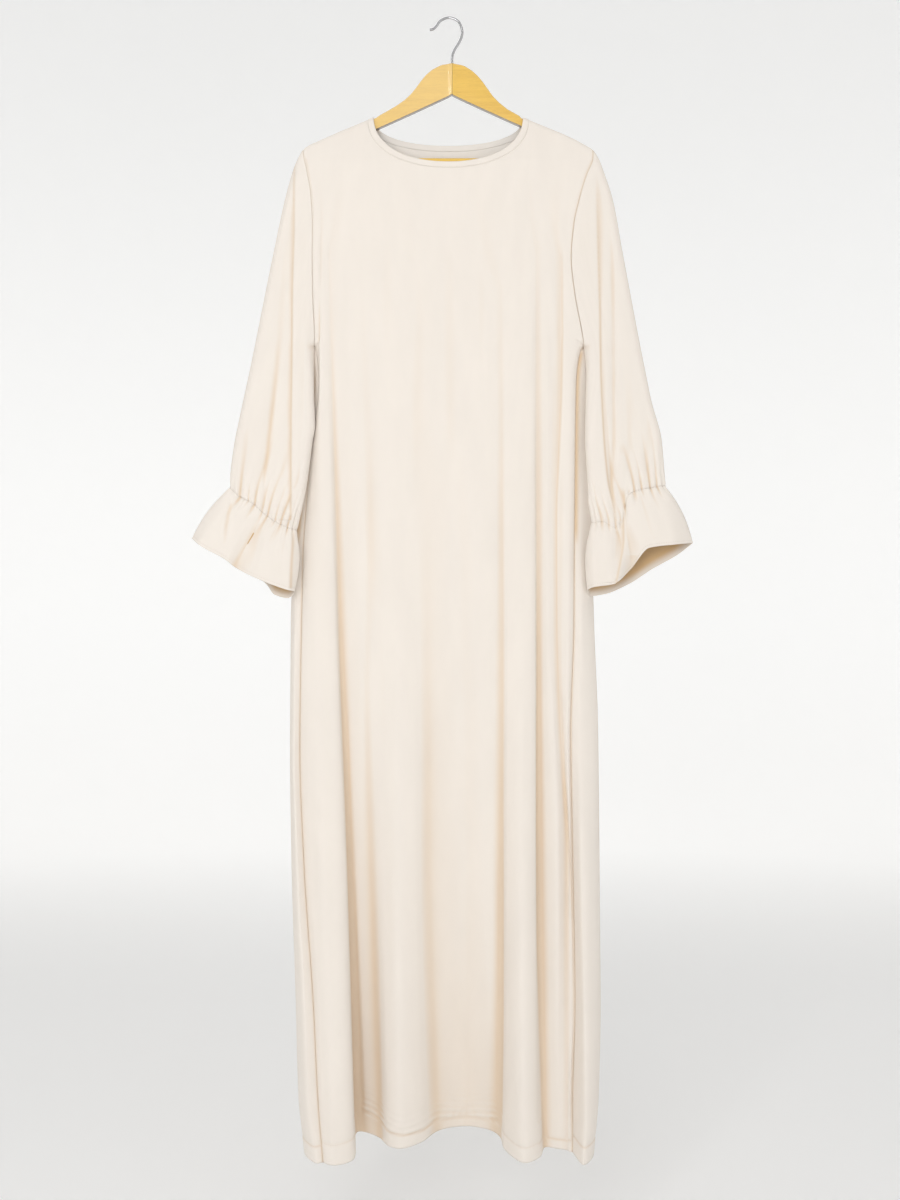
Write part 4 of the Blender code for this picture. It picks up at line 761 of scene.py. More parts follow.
def upper_rows(z, top, chest, heights, depth_at, face, corners):
    """x and y of a panel's rows between the shoulder and the chest."""
    start, end = corners
    share = ((SHOULDER_Z - z) / (SHOULDER_Z - CHEST_Z))[:, None]
    left = armhole_points(-1, z, face)[:, :1]
    right = armhole_points(1, z, face)[:, :1]
    x = top[:, 0] + (chest[:, 0] - top[:, 0]) * share
    first, last = (x[:, :1], x[:, -1:]) if face < 0 else (x[:, -1:], x[:, :1])
    place = (x - first) / (last - first)
    x = x + (left - first) * (1 - place) ** 2 + (right - last) * place ** 2
    spread = NECK_FAN * np.minimum((SHOULDER_Z - z) / NECK_FAN_DROP, 1.0)[:, None] * ease(1 - share)
    fan = NECK_FAN_COLUMNS * FINER_COLUMNS
    turns = (0, start, start + fan, end - fan, end, x.shape[1] - 1)
    x = x - face * spread * np.interp(range(x.shape[1]), turns, (0, -1, 0, 0, 1, 0))
    settled = ease((BAR_Z - heights) / (BAR_Z - CHEST_Z))
    y = depth_at(x, heights) * (1 - settled) + chest[:, 1] * settled
    return np.dstack((x, y))


# Sleeves and flounces

def halved(ring):
    """A closed ring with a point set in the middle of each of its steps."""
    middles = (ring + np.roll(ring, -1, axis=0)) / 2
    return np.stack((ring, middles), axis=1).reshape((-1,) + ring.shape[1:])


def ring_turns(side, count):
    """Place of each column round a sleeve: 0 at the outer edge, 1 at the inner, 2 all round."""
    turn = 2.0 * np.arange(count) / count
    return turn if side < 0 else (3.0 - turn) % 2.0


def sleeve_rings(side, front, back):
    """Rings of a sleeve's outer face, from the armhole to the elastic, anticlockwise from above."""
    drops = arm_drops()
    count = len(drops) - 1
    inward, outward = list(range(count)), list(range(count, 0, -1))
    columns = [(k, -1) for k in inward] + [(k, 1) for k in outward]
    if side > 0:
        columns = [(k, -1) for k in outward] + [(k, 1) for k in inward]
    seam_f, seam_b = SEAM_COLUMNS[side > 0]
    armhole = np.array([front[k, seam_f] if face < 0 else back[k, seam_b] for k, face in columns])
    armhole = halved(armhole)
    faces = np.repeat([face for _, face in columns], 2)
    places = halved(table_at(ARMHOLE_PLACES, drops[[k for k, _ in columns]], 1))
    turn = np.arange(len(places)) / len(places) * 2
    even = np.abs(1 - turn) if side > 0 else 1 - np.abs(1 - turn)
    rings = [armhole]
    for t in finer(SLEEVE_STATIONS, SLEEVE_STEPS)[1:]:
        evening = ease((t - SLEEVE_EVENING) / (1 - SLEEVE_EVENING))
        rings.append(sleeve_points(side, places + (even - places) * evening, faces, t))
    return np.array(rings)


def sleeve_points(side, place, face, t):
    """Points of a sleeve. place is 0 at the outer edge and 1 at the inner edge under the arm."""
    table = SLEEVE_LEFT if side < 0 else SLEEVE_RIGHT
    drops, places = zip(*ARMHOLE_PLACES)
    start = SHOULDER_Z - np.interp(place, places, drops)
    bottom = WRIST_Z[side] - table_at(WRIST_DROPS[side], place, 1)
    z = start + (bottom - start) * t
    outer, inner, mid, half = (table_at(table, z, k) for k in (1, 2, 3, 4))
    inner = np.where(z > UNDERARM_Z, table_at(ARMHOLES, z, 1 if side < 0 else 2), inner)
    share = (SHOULDER_Z - start) / (SHOULDER_Z - UNDERARM_Z)
    seam = ARMHOLE_MID_Y[0] + (ARMHOLE_MID_Y[1] - ARMHOLE_MID_Y[0]) * share
    mid = seam + (mid - seam) * ease((start - z) / SLEEVE_LEAVE)
    width = np.abs(inner - outer)
    offset = width * place / np.maximum(table_at(ARMHOLE_PLACES, SHOULDER_Z - z, 1), 1e-6)
    drop_share = np.minimum((SHOULDER_Z - z) / RIDGE_ROUND, 1.0)
    outer_round = np.where(drop_share < 1, width / np.maximum(drop_share, 1e-6),
                           np.minimum(width, SLEEVE_EDGE_ROUND))
    depth = round_off(offset / np.maximum(outer_round, 1e-6))
    shut = 1 - (1 - closing(z)) ** 2
    from_inner = np.minimum(np.maximum(width - offset, 0.0) / SLEEVE_EDGE_ROUND, 1.0)
    depth = depth * np.sqrt(np.maximum(1 - shut * (1 - from_inner) ** 2, 0.0))
    return np.column_stack((outer - side * offset, mid + face * half * depth, z))


def flounce_rings(side, wrist):
    """Rings of a flounce from the elastic to its hem, on the columns of the sleeve's last ring."""
    table = FLOUNCE_LEFT if side < 0 else FLOUNCE_RIGHT
    closed = [tuple(row) for row in table] + [(2,) + tuple(table[0][1:])]
    place = ring_turns(side, len(wrist))
    hem = np.column_stack([table_at(closed, place, k) for k in (1, 2, 3)])
    along = np.roll(hem, -1, axis=0) - np.roll(hem, 1, axis=0)
    outward = np.column_stack((along[:, 1], -along[:, 0], np.zeros(len(hem))))
    outward /= np.maximum(np.linalg.norm(outward, axis=1), 1e-9)[:, None]
    t = finer(FLOUNCE_STATIONS, FLOUNCE_STEPS)[:, None, None]
    return wrist + (hem - wrist) * t + outward * FLOUNCE_SWELL * np.sin(np.pi * t)


# Creases, seams and unevenness, pressed into a grid along its normals

def grid_normals(grid, closed):
    """Outward unit normals of a grid of rows down and columns anticlockwise from above."""
    if closed:
        along = np.roll(grid, -1, axis=1) - np.roll(grid, 1, axis=1)
    else:
        along = np.gradient(grid, axis=1)
    normals = np.cross(np.gradient(grid, axis=0), along)
    return normals / np.maximum(np.linalg.norm(normals, axis=2), 1e-9)[..., None]


def facing_share(normals, face):
    """1 where the cloth faces forward (-1) or back (1), down to 0 where it has turned aside."""
    start, reach = FACING
    return ease((normals[..., 1] * face - start) / reach)


def ditch(distance, size):
    """Depth of a rounded ditch with this depth and half width, at a distance from its middle."""
    depth, width = size
    return depth * np.exp(-(distance / width) ** 2)


def crease_rows(line, z):
    """Which heights a crease's line reaches."""
    tops = [row[0] for row in line]
    return (z < max(tops)) & (z > min(tops))


def crease_depth(creases, x, z):
    """How far creases push the cloth in: each is a kind, a depth, a half width and its line.

    The line's rows are z, x and a share of the depth. A valley is a ditch, and a step lowers the
    cloth on the side that its half width points to and lets it come back over STEP_FADE.
    """
    total = np.zeros_like(x)
    for kind, depth, width, line in creases:
        inside = crease_rows(line, z)
        if not inside.any():
            continue
        zi = z[inside]
        off = (x[inside] - table_at(line, zi, 1)) / width
        share = np.clip(table_at(line, zi, 2), 0.0, None)
        if kind == "valley":
            shape = np.exp(-off * off)
        else:
            fade = np.exp(-np.maximum(off, 0.0) * abs(width) / STEP_FADE)
            shape = fade / (1 + np.exp(-STEP_EDGE * off))
        total[inside] += depth * share * shape
    return total


def unevenness(points, seed):
    """Gentle random swells of hanging cloth, longer than wide, in millimetres."""
    rng = np.random.default_rng(seed)
    x, y, z = points[..., 0], points[..., 1], points[..., 2]
    total = np.zeros_like(x)
    for length, size in SWELLS:
        for _ in range(SWELL_WAVES):
            a, b, c, d = rng.uniform(0, 2 * np.pi, 4)
            tilt = rng.uniform(-0.5, 0.5)
            wave = 2 * np.pi / (length * rng.uniform(0.7, 1.4))
            sway = 1.5 * np.sin(z / length / 3 + b)
            across = np.sin(wave * (x + tilt * z * 0.3 + y) + a + sway)
            down = np.cos(wave * 0.22 * z + c + np.sin(x * wave * 0.5 + d))
            total += size / 3 * across * down
    return total


def hem_line(rows, x):
    """How far the hem's seam is from the edge, and how much painted shade its line gets, at each x.
    """
    places, depths, painted_line_shade = zip(*rows)
    return np.interp(x, places, depths), np.interp(x, places, painted_line_shade)


def hem_puckers(above, x, seed):
    """Small slanting puckers that the stitches draw up, at heights above the hem's seam."""
    rng = np.random.default_rng(seed)
    total = np.zeros_like(x)
    for place in np.arange(x.min(), x.max(), HEM_PUCKER_PITCH):
        place += rng.uniform(-4, 4)
        reach, depth, slope = rng.uniform(7, 15), rng.uniform(0.15, 0.5), rng.uniform(-0.7, 0.7)
        off = (x - place - slope * above) / rng.uniform(1.6, 3.4)
        fade = np.where(above > 0, np.exp(-above / reach), np.exp(above / HEM_PUCKER_BELOW))
        total += depth * np.exp(-off * off) * fade
    return total


def hem_ripples(above, x):
    """Soft ripples along the front's recess, above its hem seam."""
    depth, pitch, reach, left, right = HEM_RIPPLES
    sway, sway_reach, foot, fade_x = HEM_RIPPLE_FADES
    wave = np.cos(2 * math.pi * above / pitch + sway * np.sin(x / sway_reach))
    fade = np.where(above > 0, np.exp(-above / reach), 0.0) * ease(above / foot)
    return depth * wave * fade * ease((x - left) / fade_x) * ease((right - x) / fade_x)


def edge_distance(grid, edge):
    """Distance in the cloth from each point to one edge of its grid, along its row or column."""
    if edge in ("left", "right"):
        return edge_distance(np.swapaxes(grid, 0, 1), "top" if edge == "left" else "bottom").T
    steps = np.linalg.norm(np.diff(grid, axis=0), axis=2)
    distance = np.concatenate((np.zeros((1, grid.shape[1])), np.cumsum(steps, axis=0)), axis=0)
    return distance if edge == "top" else distance[-1:] - distance


def painted_fold_shading(grid, closed, seams, full):
    """Painted shading from how far each point lies behind its surroundings: 1, full painted shade,
    in a valley or at a seam named, and down to -1, painted light, on a crest.
    """
    smooth = grid.copy()
    pitch = np.median(np.linalg.norm(np.diff(grid, axis=1), axis=2))
    for _ in range(round(2 * (HOLLOW_REACH / pitch) ** 2)):
        if closed:
            smooth = (np.roll(smooth, 1, axis=1) + np.roll(smooth, -1, axis=1) + 2 * smooth) / 4
        else:
            smooth[:, 1:-1] = (smooth[:, :-2] + smooth[:, 2:] + 2 * smooth[:, 1:-1]) / 4
    behind = np.sum((smooth - grid) * grid_normals(grid, closed), axis=2)
    depth = np.clip(behind / full, -1.0, 1.0)
    for edge, distance, shade in seams:
        reach = (edge_distance(grid, edge) - distance) / SEAM_SHADE
        depth = np.maximum(depth, shade * np.exp(-reach * reach))
    return depth


def step_lines(creases, grid, closed, facing):
    """Shade along the lines of steps, where the cloth faces forward (-1) or back (1)."""
    x, z = grid[..., 0], grid[..., 2]
    total = np.zeros_like(x)
    width, shade = STEP_LINE
    for kind, _, _, line in creases:
        inside = crease_rows(line, z)
        if kind != "step" or not inside.any():
            continue
        off = (x[inside] - table_at(line, z[inside], 1)) / width
        share = np.clip(table_at(line, z[inside], 2), 0.0, 1.0)
        total[inside] = np.maximum(total[inside], shade * share * np.exp(-off * off))
    return total * facing_share(grid_normals(grid, closed), facing)


def behind_sleeves(grid):
    """Shade of the back panel's sides where they lie behind the sleeves."""
    z = grid[..., 2]
    total = np.zeros_like(z)
    for edge, word in (("left", "right"), ("right", "left")):
        distance, width, shade = BEHIND_SLEEVE[word]
        off = (edge_distance(grid, edge) - distance) / width
        total = np.maximum(total, shade * np.exp(-off * off))
    top_fade, bottom, bottom_fade = BEHIND_SLEEVE_FADE
    return total * ease((UNDERARM_Z - z) / top_fade) * ease((z - bottom) / bottom_fade)


# Meshes of cloth

def clear_selection():
    if bpy.context.object and bpy.context.object.mode != "OBJECT":
        bpy.ops.object.mode_set(mode="OBJECT")
    bpy.ops.object.select_all(action="DESELECT")
    bpy.context.view_layer.objects.active = None


def new_piece(name, data):
    """A new object in the scene, active and alone in being selected."""
    piece = bpy.data.objects.new(name, data)
    bpy.context.scene.collection.objects.link(piece)
    clear_selection()
    bpy.context.view_layer.objects.active = piece
    piece.select_set(True)
    return piece


def turn_faces(inside=False):
    """Turns all faces of the piece in edit mode outward or inward."""
    bpy.ops.mesh.select_all(action="SELECT")
    bpy.ops.mesh.normals_make_consistent(inside=inside)


def sheet_object(name, grid, closed, thickness, material, inside, seams=(), shade=0.0,
                 full=HOLLOW_DEPTH):
    """A cloth piece from a grid of points, with a UV map in metres and a wall turned inward."""
    rows, columns = grid.shape[:2]
    spans = columns if closed else columns - 1
    r, c = np.meshgrid(np.arange(rows - 1), np.arange(spans), indexing="ij")
    after = (c + 1) % columns
    faces = np.stack((r * columns + c, (r + 1) * columns + c, (r + 1) * columns + after,
                      r * columns + after), axis=-1).reshape(-1, 4)
    mesh = bpy.data.meshes.new(name)
    mesh.from_pydata((grid.reshape(-1, 3) * MM).tolist(), [], faces.tolist())
    wrapped = np.concatenate((grid, grid[:, :1]), axis=1) if closed else grid
    across = edge_distance(wrapped, "left")
    across -= across[:, -1:] / 2
    down = edge_distance(wrapped, "top")
    corners = [(r, c), (r + 1, c), (r + 1, c + 1), (r, c + 1)]
    uv = np.stack([np.stack((across[i, j], -down[i, j]), axis=-1) for i, j in corners], axis=2)
    layer = mesh.uv_layers.new(name="cloth_metres")
    layer.data.foreach_set("uv", (uv * MM).reshape(-1))
    # Painted shading of the folds, seams and steps: shade above 0, light below 0
    depths = np.maximum(painted_fold_shading(grid, closed, seams, full), shade).reshape(-1)
    mesh.attributes.new("hollow", "FLOAT", "POINT").data.foreach_set("value", depths)
    mesh.materials.append(material)
    mesh.shade_smooth()
    piece = new_piece(name, mesh)
    wall = piece.modifiers.new("wall", "SOLIDIFY")
    wall.thickness = thickness * MM
    wall.offset = -1.0
    wall.use_even_offset = False
    bpy.ops.object.modifier_apply(modifier=wall.name)
    depths = np.zeros(len(piece.data.vertices))
    hollow = piece.data.attributes["hollow"]
    hollow.data.foreach_get("value", depths)
    # The inner wall gets the inside's painted shading: shade above 0, light below 0
    depths[rows * columns:] = np.broadcast_to(inside, (rows, columns)).reshape(-1)
    hollow.data.foreach_set("value", depths)
    clear_selection()
    return piece


# Sewing thread

def line_on(grid, closed, edge, distance):
    """Points and normals of a line drawn on a grid at a distance from one of its edges."""
    away = edge_distance(grid, edge)
    order = slice(None, None, -1) if edge == "bottom" else slice(None)
    both = np.concatenate((grid, grid_normals(grid, closed)), axis=2)
    places = np.broadcast_to(distance, grid.shape[1])
    line = np.array([[np.interp(places[c], away[order, c], both[order, c, k]) for k in range(6)]
                     for c in range(grid.shape[1])])
    return np.concatenate((line, line[:1])) if closed else line


def stitch_ends(line, stitch):
    """Start, two rings and end of each stitch along a line of points and normals."""
    steps = np.linalg.norm(np.diff(line[:, :3], axis=0), axis=1)
    along = np.concatenate(((0,), np.cumsum(steps)))
    starts = np.arange(stitch * STITCH_START, along[-1] - stitch, stitch * STITCH_PITCH)
    taper = STITCH_TAPER * stitch
    ends = [np.column_stack([np.interp(starts + step, along, line[:, k]) for k in range(6)])
            for step in (0, taper, (1 - STITCH_TAPER) * stitch, stitch)]
    return zip(*ends)


def stitches_object(name, lines, stitch, material):
    """Rows of small tapered stitches along lines of points and normals, joined in one mesh."""
    verts, faces = [], []
    n = THREAD_SIDES
    for line in lines:
        for a, b, c, d in stitch_ends(line, stitch):
            up = b[3:] / np.linalg.norm(b[3:])
            across = np.cross(d[:3] - a[:3], up)
            across /= np.linalg.norm(across)
            first = len(verts)
            verts.append(a[:3] - up * THREAD_SINK)
            for ring in (b, c):
                for k in range(n):
                    angle = 2 * math.pi * k / n
                    verts.append(ring[:3] + up * THREAD_RADIUS * (0.5 + math.cos(angle))
                                 + across * THREAD_RADIUS * math.sin(angle))
            verts.append(d[:3] - up * THREAD_SINK)
            for k in range(n):
                one, two = first + 1 + k, first + 1 + (k + 1) % n
                faces += [(first, two, one), (one, two, two + n, one + n),
                          (one + n, two + n, first + 2 * n + 1)]
    mesh = bpy.data.meshes.new(name)
    mesh.from_pydata((np.array(verts) * MM).tolist(), [], faces)
    mesh.materials.append(material)
    mesh.shade_smooth()
    piece = new_piece(name, mesh)
    bpy.ops.object.mode_set(mode="EDIT")
    turn_faces()
    bpy.ops.object.mode_set(mode="OBJECT")
    clear_selection()
    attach(piece, "root")
    return piece


# The garment

GARMENT = {}        # its grids, worked out once by shaped_garment()


def gather_depth(side, count, distance, way):
    """How deep the elastic's gathers are on each column, at distances up (3) or down (4)."""
    places = ring_turns(side, count)
    total = np.zeros((len(distance), count))
    for row in GATHERS[side]:
        place, depth, width = row[:3]
        reach = row[way] * (1.0 if way == 3 else FLOUNCE_REACH)
        apart = (places - place + 1.0) % 2.0 - 1.0
        spread = width * (0.7 + 1.5 * distance / reach)
        fade = np.exp(-(distance / reach / 1.3) ** 2)
        total += 1.3 * depth * fade * np.exp(-np.abs(apart / spread) ** 1.4)
    rng = np.random.default_rng(way + GATHER_SEED + side)
    for place in np.arange(0, 2, PUCKER_PITCH):
        apart = (places - place - rng.uniform(-0.012, 0.012) + 1.0) % 2.0 - 1.0
        depth, width, reach = (rng.uniform(*limits) for limits in PUCKER_LIMITS)
        total += depth * np.exp(-distance / reach) * np.exp(-(apart / width) ** 2)
    return total + ditch(distance, ELASTIC_PULL)


def pressed_in(grid, closed, inward):
    """A grid with each point moved inward by so many millimetres."""
    return grid - grid_normals(grid, closed) * inward[..., None]


def shaped_panel(grid, creases, hem_rows, seed):
    """The front or the back with its creases, swells, seams and hem pressed in."""
    x, z = grid[..., 0], grid[..., 2]
    sides = np.minimum(edge_distance(grid, "left"), edge_distance(grid, "right"))
    above = edge_distance(grid, "bottom") - hem_line(hem_rows, x)[0]
    top, top_fade = QUIET_TOP
    quiet = ease(sides / QUIET_EDGE) * ease((SHOULDER_Z - z - top) / top_fade)
    inward = crease_depth(creases, x, z) * ease(sides / CREASE_EDGE)
    inward = inward + unevenness(grid, seed) * quiet + ditch(sides, SEAM_DITCH)
    inward = inward + ditch(above, HEM_DITCH)
    if hem_rows is FRONT_HEM:
        inward = inward + hem_ripples(above, x)
    proud, proud_reach = HEM_PROUD
    inward = inward - proud * ease(-above / proud_reach)
    inward = inward + hem_puckers(above, x, seed + HEM_PUCKER_SEED) * ease(sides / HEM_PUCKER_EDGE)
    return pressed_in(grid, False, inward)


def shaped_sleeve(side, grid):
    """A sleeve with its creases, swells, armhole seam and gathers pressed in."""
    up, down = edge_distance(grid, "top"), edge_distance(grid, "bottom")
    frontward = facing_share(grid_normals(grid, True), -1)
    creases = crease_depth(SLEEVE_CREASES[side], grid[..., 0], grid[..., 2])
    swells = unevenness(grid, SLEEVE_SEED + side) * SLEEVE_SWELLS
    inward = creases * frontward * ease(up / SLEEVE_CREASE_EDGE)
    inward = inward + swells * ease(up / QUIET_EDGE) * ease(down / QUIET_EDGE)
    inward = inward + ditch(up, SEAM_DITCH) + gather_depth(side, grid.shape[1], down, 3)
    return pressed_in(grid, True, inward)


def shaped_flounce(side, grid):
    """A flounce with its creases, swells, gathers and hem pressed in."""
    up, down = edge_distance(grid, "top"), edge_distance(grid, "bottom")
    frontward = facing_share(grid_normals(grid, True), -1)
    creases = crease_depth(FLOUNCE_CREASES[side], grid[..., 0], grid[..., 2])
    swells = unevenness(grid, FLOUNCE_SEED + side) * FLOUNCE_SWELLS
    inward = creases * frontward * ease(up / FLOUNCE_CREASE_EDGE)
    inward = inward + swells * ease(up / QUIET_EDGE)
    inward = inward + gather_depth(side, grid.shape[1], up, 4)
    inward = inward + ditch(down - CUFF_HEM_DEPTH, CUFF_HEM_DITCH)
    return pressed_in(grid, True, inward)


def join(one, place, other, other_place):
    """Brings points of two grids together, halfway between them."""
    one[place] = other[other_place] = (one[place] + other[other_place]) / 2


def shaped_garment():
    """All grids of the garment with their creases, gathers, seams and hems pressed in."""
    if GARMENT:
        return GARMENT
    front, back, counts = body_panels()
    arm_rows = len(arm_drops()) - 1
    shaped = {"front": shaped_panel(front, FRONT_CREASES, FRONT_HEM, FRONT_SEED),
              "back": shaped_panel(back, BACK_CREASES, BACK_HEM, BACK_SEED)}
    for side, word in SIDES:
        rings = sleeve_rings(side, front, back)
        sleeve = shaped["sleeve_" + word] = shaped_sleeve(side, rings)
        flounce = shaped_flounce(side, flounce_rings(side, rings[-1]))
        shaped["cuff_flounce_" + word] = flounce
        join(sleeve, -1, flounce, 0)
        join_armhole(side, shaped, arm_rows)
    below = slice(arm_rows, None)
    for column_f, column_b in SEAM_COLUMNS:
        join(shaped["front"], (below, column_f), shaped["back"], (below, column_b))
    GARMENT.update(shaped, counts=counts)
    return GARMENT


def join_armhole(side, shaped, arm_rows):
    """Brings a sleeve's first ring and the panels' edges together on the armhole seam."""
    sleeve = shaped["sleeve_left" if side < 0 else "sleeve_right"]
    ring = sleeve[0, ::2]
    size = len(ring)
    column_f, column_b = SEAM_COLUMNS[side > 0]
    for k in range(arm_rows + 1):
        front_place = k if side < 0 else (arm_rows - k) % size
        back_place = (size - k) % size if side < 0 else (arm_rows + k) % size
        join(shaped["front"], (k, column_f), ring, front_place)
        join(shaped["back"], (k, column_b), ring, back_place)
    sleeve[0] = halved(ring.copy())


def neck_band_grid(counts):
    """The folded strip round the neck, closed, from its finished edge down to its seam."""
    start_f, end_f = neck_corners(FRONT_FOLDS, counts[0], 2, FRONT_NECK_LINES)
    start_b, end_b = neck_corners(BACK_FOLDS, counts[1], 3, BACK_NECK_LINES)
    angles_f = neck_angles(end_f - start_f)[:-1]
    angles_b = neck_angles(end_b - start_b)[:0:-1]
    t = np.linspace(0, 1, NECK_BAND_ROWS + 1)
    grid = np.array([
        np.concatenate((neck_points(angles_f, widening, NECK_FRONT_Z, front_top_y),
                        neck_points(angles_b, widening, NECK_BACK_Z, back_top_y)))
        for widening in NECK_BAND_WIDTH * t])
    edge, seam = NECK_BAND_ROUNDS
    crown = NECK_BAND_PROUD * (round_off(t / edge) * round_off((1 - t) / seam))
    return grid + grid_normals(grid, True) * crown[:, None, None]


# Materials

def new_material(name, **constants):
    material = bpy.data.materials.new(name)
    material.use_nodes = True
    shader = material.node_tree.nodes["Principled BSDF"]
    for socket, value in constants.items():
        shader.inputs[socket.replace("_", " ")].default_value = value
    return material


def feed_shader(material, **sockets):
    """Links sockets to the inputs of a material's shader and gives the material back."""
    tree = material.node_tree
    shader = tree.nodes["Principled BSDF"]
    for name, socket in sockets.items():
        tree.links.new(socket, shader.inputs[name.replace("_", " ")])
    return material


def add_node(tree, kind, links=None, **settings):
    """A node with its settings, its inputs fed by sockets or set to values."""
    node = tree.nodes.new(kind)
    for key, value in settings.items():
        setattr(node, key, value)
    for socket, value in (links or {}).items():
        if isinstance(value, bpy.types.NodeSocket):
            tree.links.new(value, node.inputs[socket])
        else:
            node.inputs[socket].default_value = value
    return node


def new_group(name, inputs, outputs):
    group = bpy.data.node_groups.new(name, "ShaderNodeTree")
    for in_out, sockets in (("INPUT", inputs), ("OUTPUT", outputs)):
        for label, kind in sockets.items():
            group.interface.new_socket(name=label, in_out=in_out, socket_type="NodeSocket" + kind)
    return group, group.nodes.new("NodeGroupInput"), group.nodes.new("NodeGroupOutput")


def object_place(tree):
    return add_node(tree, "ShaderNodeTexCoord").outputs["Object"]


def scaled(tree, vector, *scale):
    return add_node(tree, "ShaderNodeMapping", {"Vector": vector, "Scale": scale}).outputs["Vector"]


def noise(tree, vector, scale=1.0, **inputs):
    node = add_node(tree, "ShaderNodeTexNoise", {"Vector": vector, "Scale": scale, **inputs})
    return node.outputs["Fac"]


def ramp(tree, value, start, end, low=0.0, high=1.0, **settings):
    """A value between start and end, brought to the range from low to high."""
    limits = {"From Min": start, "From Max": end, "To Min": low, "To Max": high}
    node = add_node(tree, "ShaderNodeMapRange", {"Value": value, **limits}, **settings)
    return node.outputs["Result"]


def blend(tree, share, *colors):
    """A colour from the first, at a share of 0, to the second, at 1."""
    first, second = (c if isinstance(c, bpy.types.NodeSocket) else (*c, 1.0) for c in colors)
    node = add_node(tree, "ShaderNodeMix", {0: share, 6: first, 7: second}, data_type="RGBA")
    return node.outputs[2]


def brightened(tree, color, value):
    node = add_node(tree, "ShaderNodeHueSaturation", {"Color": color, "Value": value})
    return node.outputs["Color"]


def calculated(tree, operation, *values):
    node = add_node(tree, "ShaderNodeMath", dict(enumerate(values)), operation=operation)
    return node.outputs["Value"]


def bumped(tree, height, strength, distance):
    node = add_node(tree, "ShaderNodeBump", {"Height": height, "Strength": strength,
                                             "Distance": distance})
    return node.outputs["Normal"]


def crepe_group():
    """Crinkled yarn of crepe: a height for the bump and a faint mottle for the colour."""
    found = bpy.data.node_groups.get("crepe_yarn")
    if found:
        return found
    group, _, out = new_group("crepe_yarn", {}, {"Height": "Float", "Mottle": "Float"})
    place = add_node(group, "ShaderNodeUVMap", uv_map="cloth_metres").outputs["UV"]
    yarn = scaled(group, place, 1500.0, 900.0, 1.0)
    crinkle = noise(group, yarn, Detail=3.0, Roughness=0.6)
    weave = add_node(group, "ShaderNodeTexVoronoi", {"Vector": yarn, "Scale": 0.8})
    height = add_node(group, "ShaderNodeMix", {"Factor": 0.35, "A": crinkle,
                                               "B": weave.outputs["Distance"]})
    mottle = noise(group, scaled(group, place, 30.0, 9.0, 1.0), Detail=4.0, Roughness=0.55)
    group.links.new(height.outputs["Result"], out.inputs["Height"])
    group.links.new(mottle, out.inputs["Mottle"])
    return group


def crepe_material(name, cloth, hollow, crest):
    """Matte cream crepe, with painted shade that makes it warmer and darker in a valley and painted
    light that makes it paler and cooler on a crest.
    """
    material = new_material(name, Roughness=0.88, Sheen_Weight=0.12, Sheen_Roughness=0.5,
                            Specular_IOR_Level=0.25, IOR=1.45)
    tree = material.node_tree
    yarn = add_node(tree, "ShaderNodeGroup", node_tree=crepe_group())
    depth = add_node(tree, "ShaderNodeAttribute", attribute_name="hollow").outputs["Fac"]
    # Painted shade in valleys, at seams and inside, then painted light on crests
    color = blend(tree, ramp(tree, depth, 0.0, PAINTED_SHADE_FULL), cloth, hollow)
    color = blend(tree, ramp(tree, depth, 0.0, PAINTED_LIGHT_FULL), color, crest)
    mottle = ramp(tree, yarn.outputs["Mottle"], 0.3, 0.7, 0.985, 1.015)
    return feed_shader(material, Base_Color=brightened(tree, color, mottle),
                       Normal=bumped(tree, yarn.outputs["Height"], 0.35, 0.0004))


def thread_material(settings):
    """Twisted sewing thread, a little darker than the crepe."""
    found = bpy.data.materials.get("sewing_thread")
    if found:
        return found
    material = new_material("sewing_thread", Roughness=0.7, Sheen_Weight=0.2)
    tree = material.node_tree
    twist = noise(tree, object_place(tree), 2500.0)
    dark = tuple(0.82 * c for c in settings.thread)
    return feed_shader(material, Base_Color=blend(tree, twist, settings.thread, dark),
                       Normal=bumped(tree, twist, 0.4, 0.0001))


def wood_group():
    """Grain along x: dark streaks, fine pores and a slow drift of colour."""
    found = bpy.data.node_groups.get("beech_grain")
    if found:
        return found
    group, put, out = new_group("beech_grain", {"Light": "Color", "Dark": "Color"},
                                {"Color": "Color", "Height": "Float"})
    place = object_place(group)
    streaks = noise(group, scaled(group, place, 9.0, 260.0, 200.0), Detail=5.0, Roughness=0.62,
                    Distortion=0.5)
    pores = noise(group, scaled(group, place, 120.0, 2200.0, 2200.0), Detail=2.0)
    color = blend(group, ramp(group, streaks, 0.35, 0.72), put.outputs["Light"],
                  put.outputs["Dark"])
    color = brightened(group, color, ramp(group, pores, 0.55, 0.75, 1.0, 0.86))
    group.links.new(color, out.inputs["Color"])
    group.links.new(streaks, out.inputs["Height"])
    return group


def wood_material(name, light, dark, roughness):
    """Varnished wood with a grain of two colours."""
    material = new_material(name, Roughness=roughness, Coat_Weight=1.0, Coat_Roughness=0.1, IOR=1.5)
    tree = material.node_tree
    grain = add_node(tree, "ShaderNodeGroup", node_tree=wood_group())
    for socket, color in (("Light", light), ("Dark", dark)):
        grain.inputs[socket].default_value = (*color, 1.0)
    return feed_shader(material, Base_Color=grain.outputs["Color"],
                       Normal=bumped(tree, grain.outputs["Height"], 0.15, 0.0004))


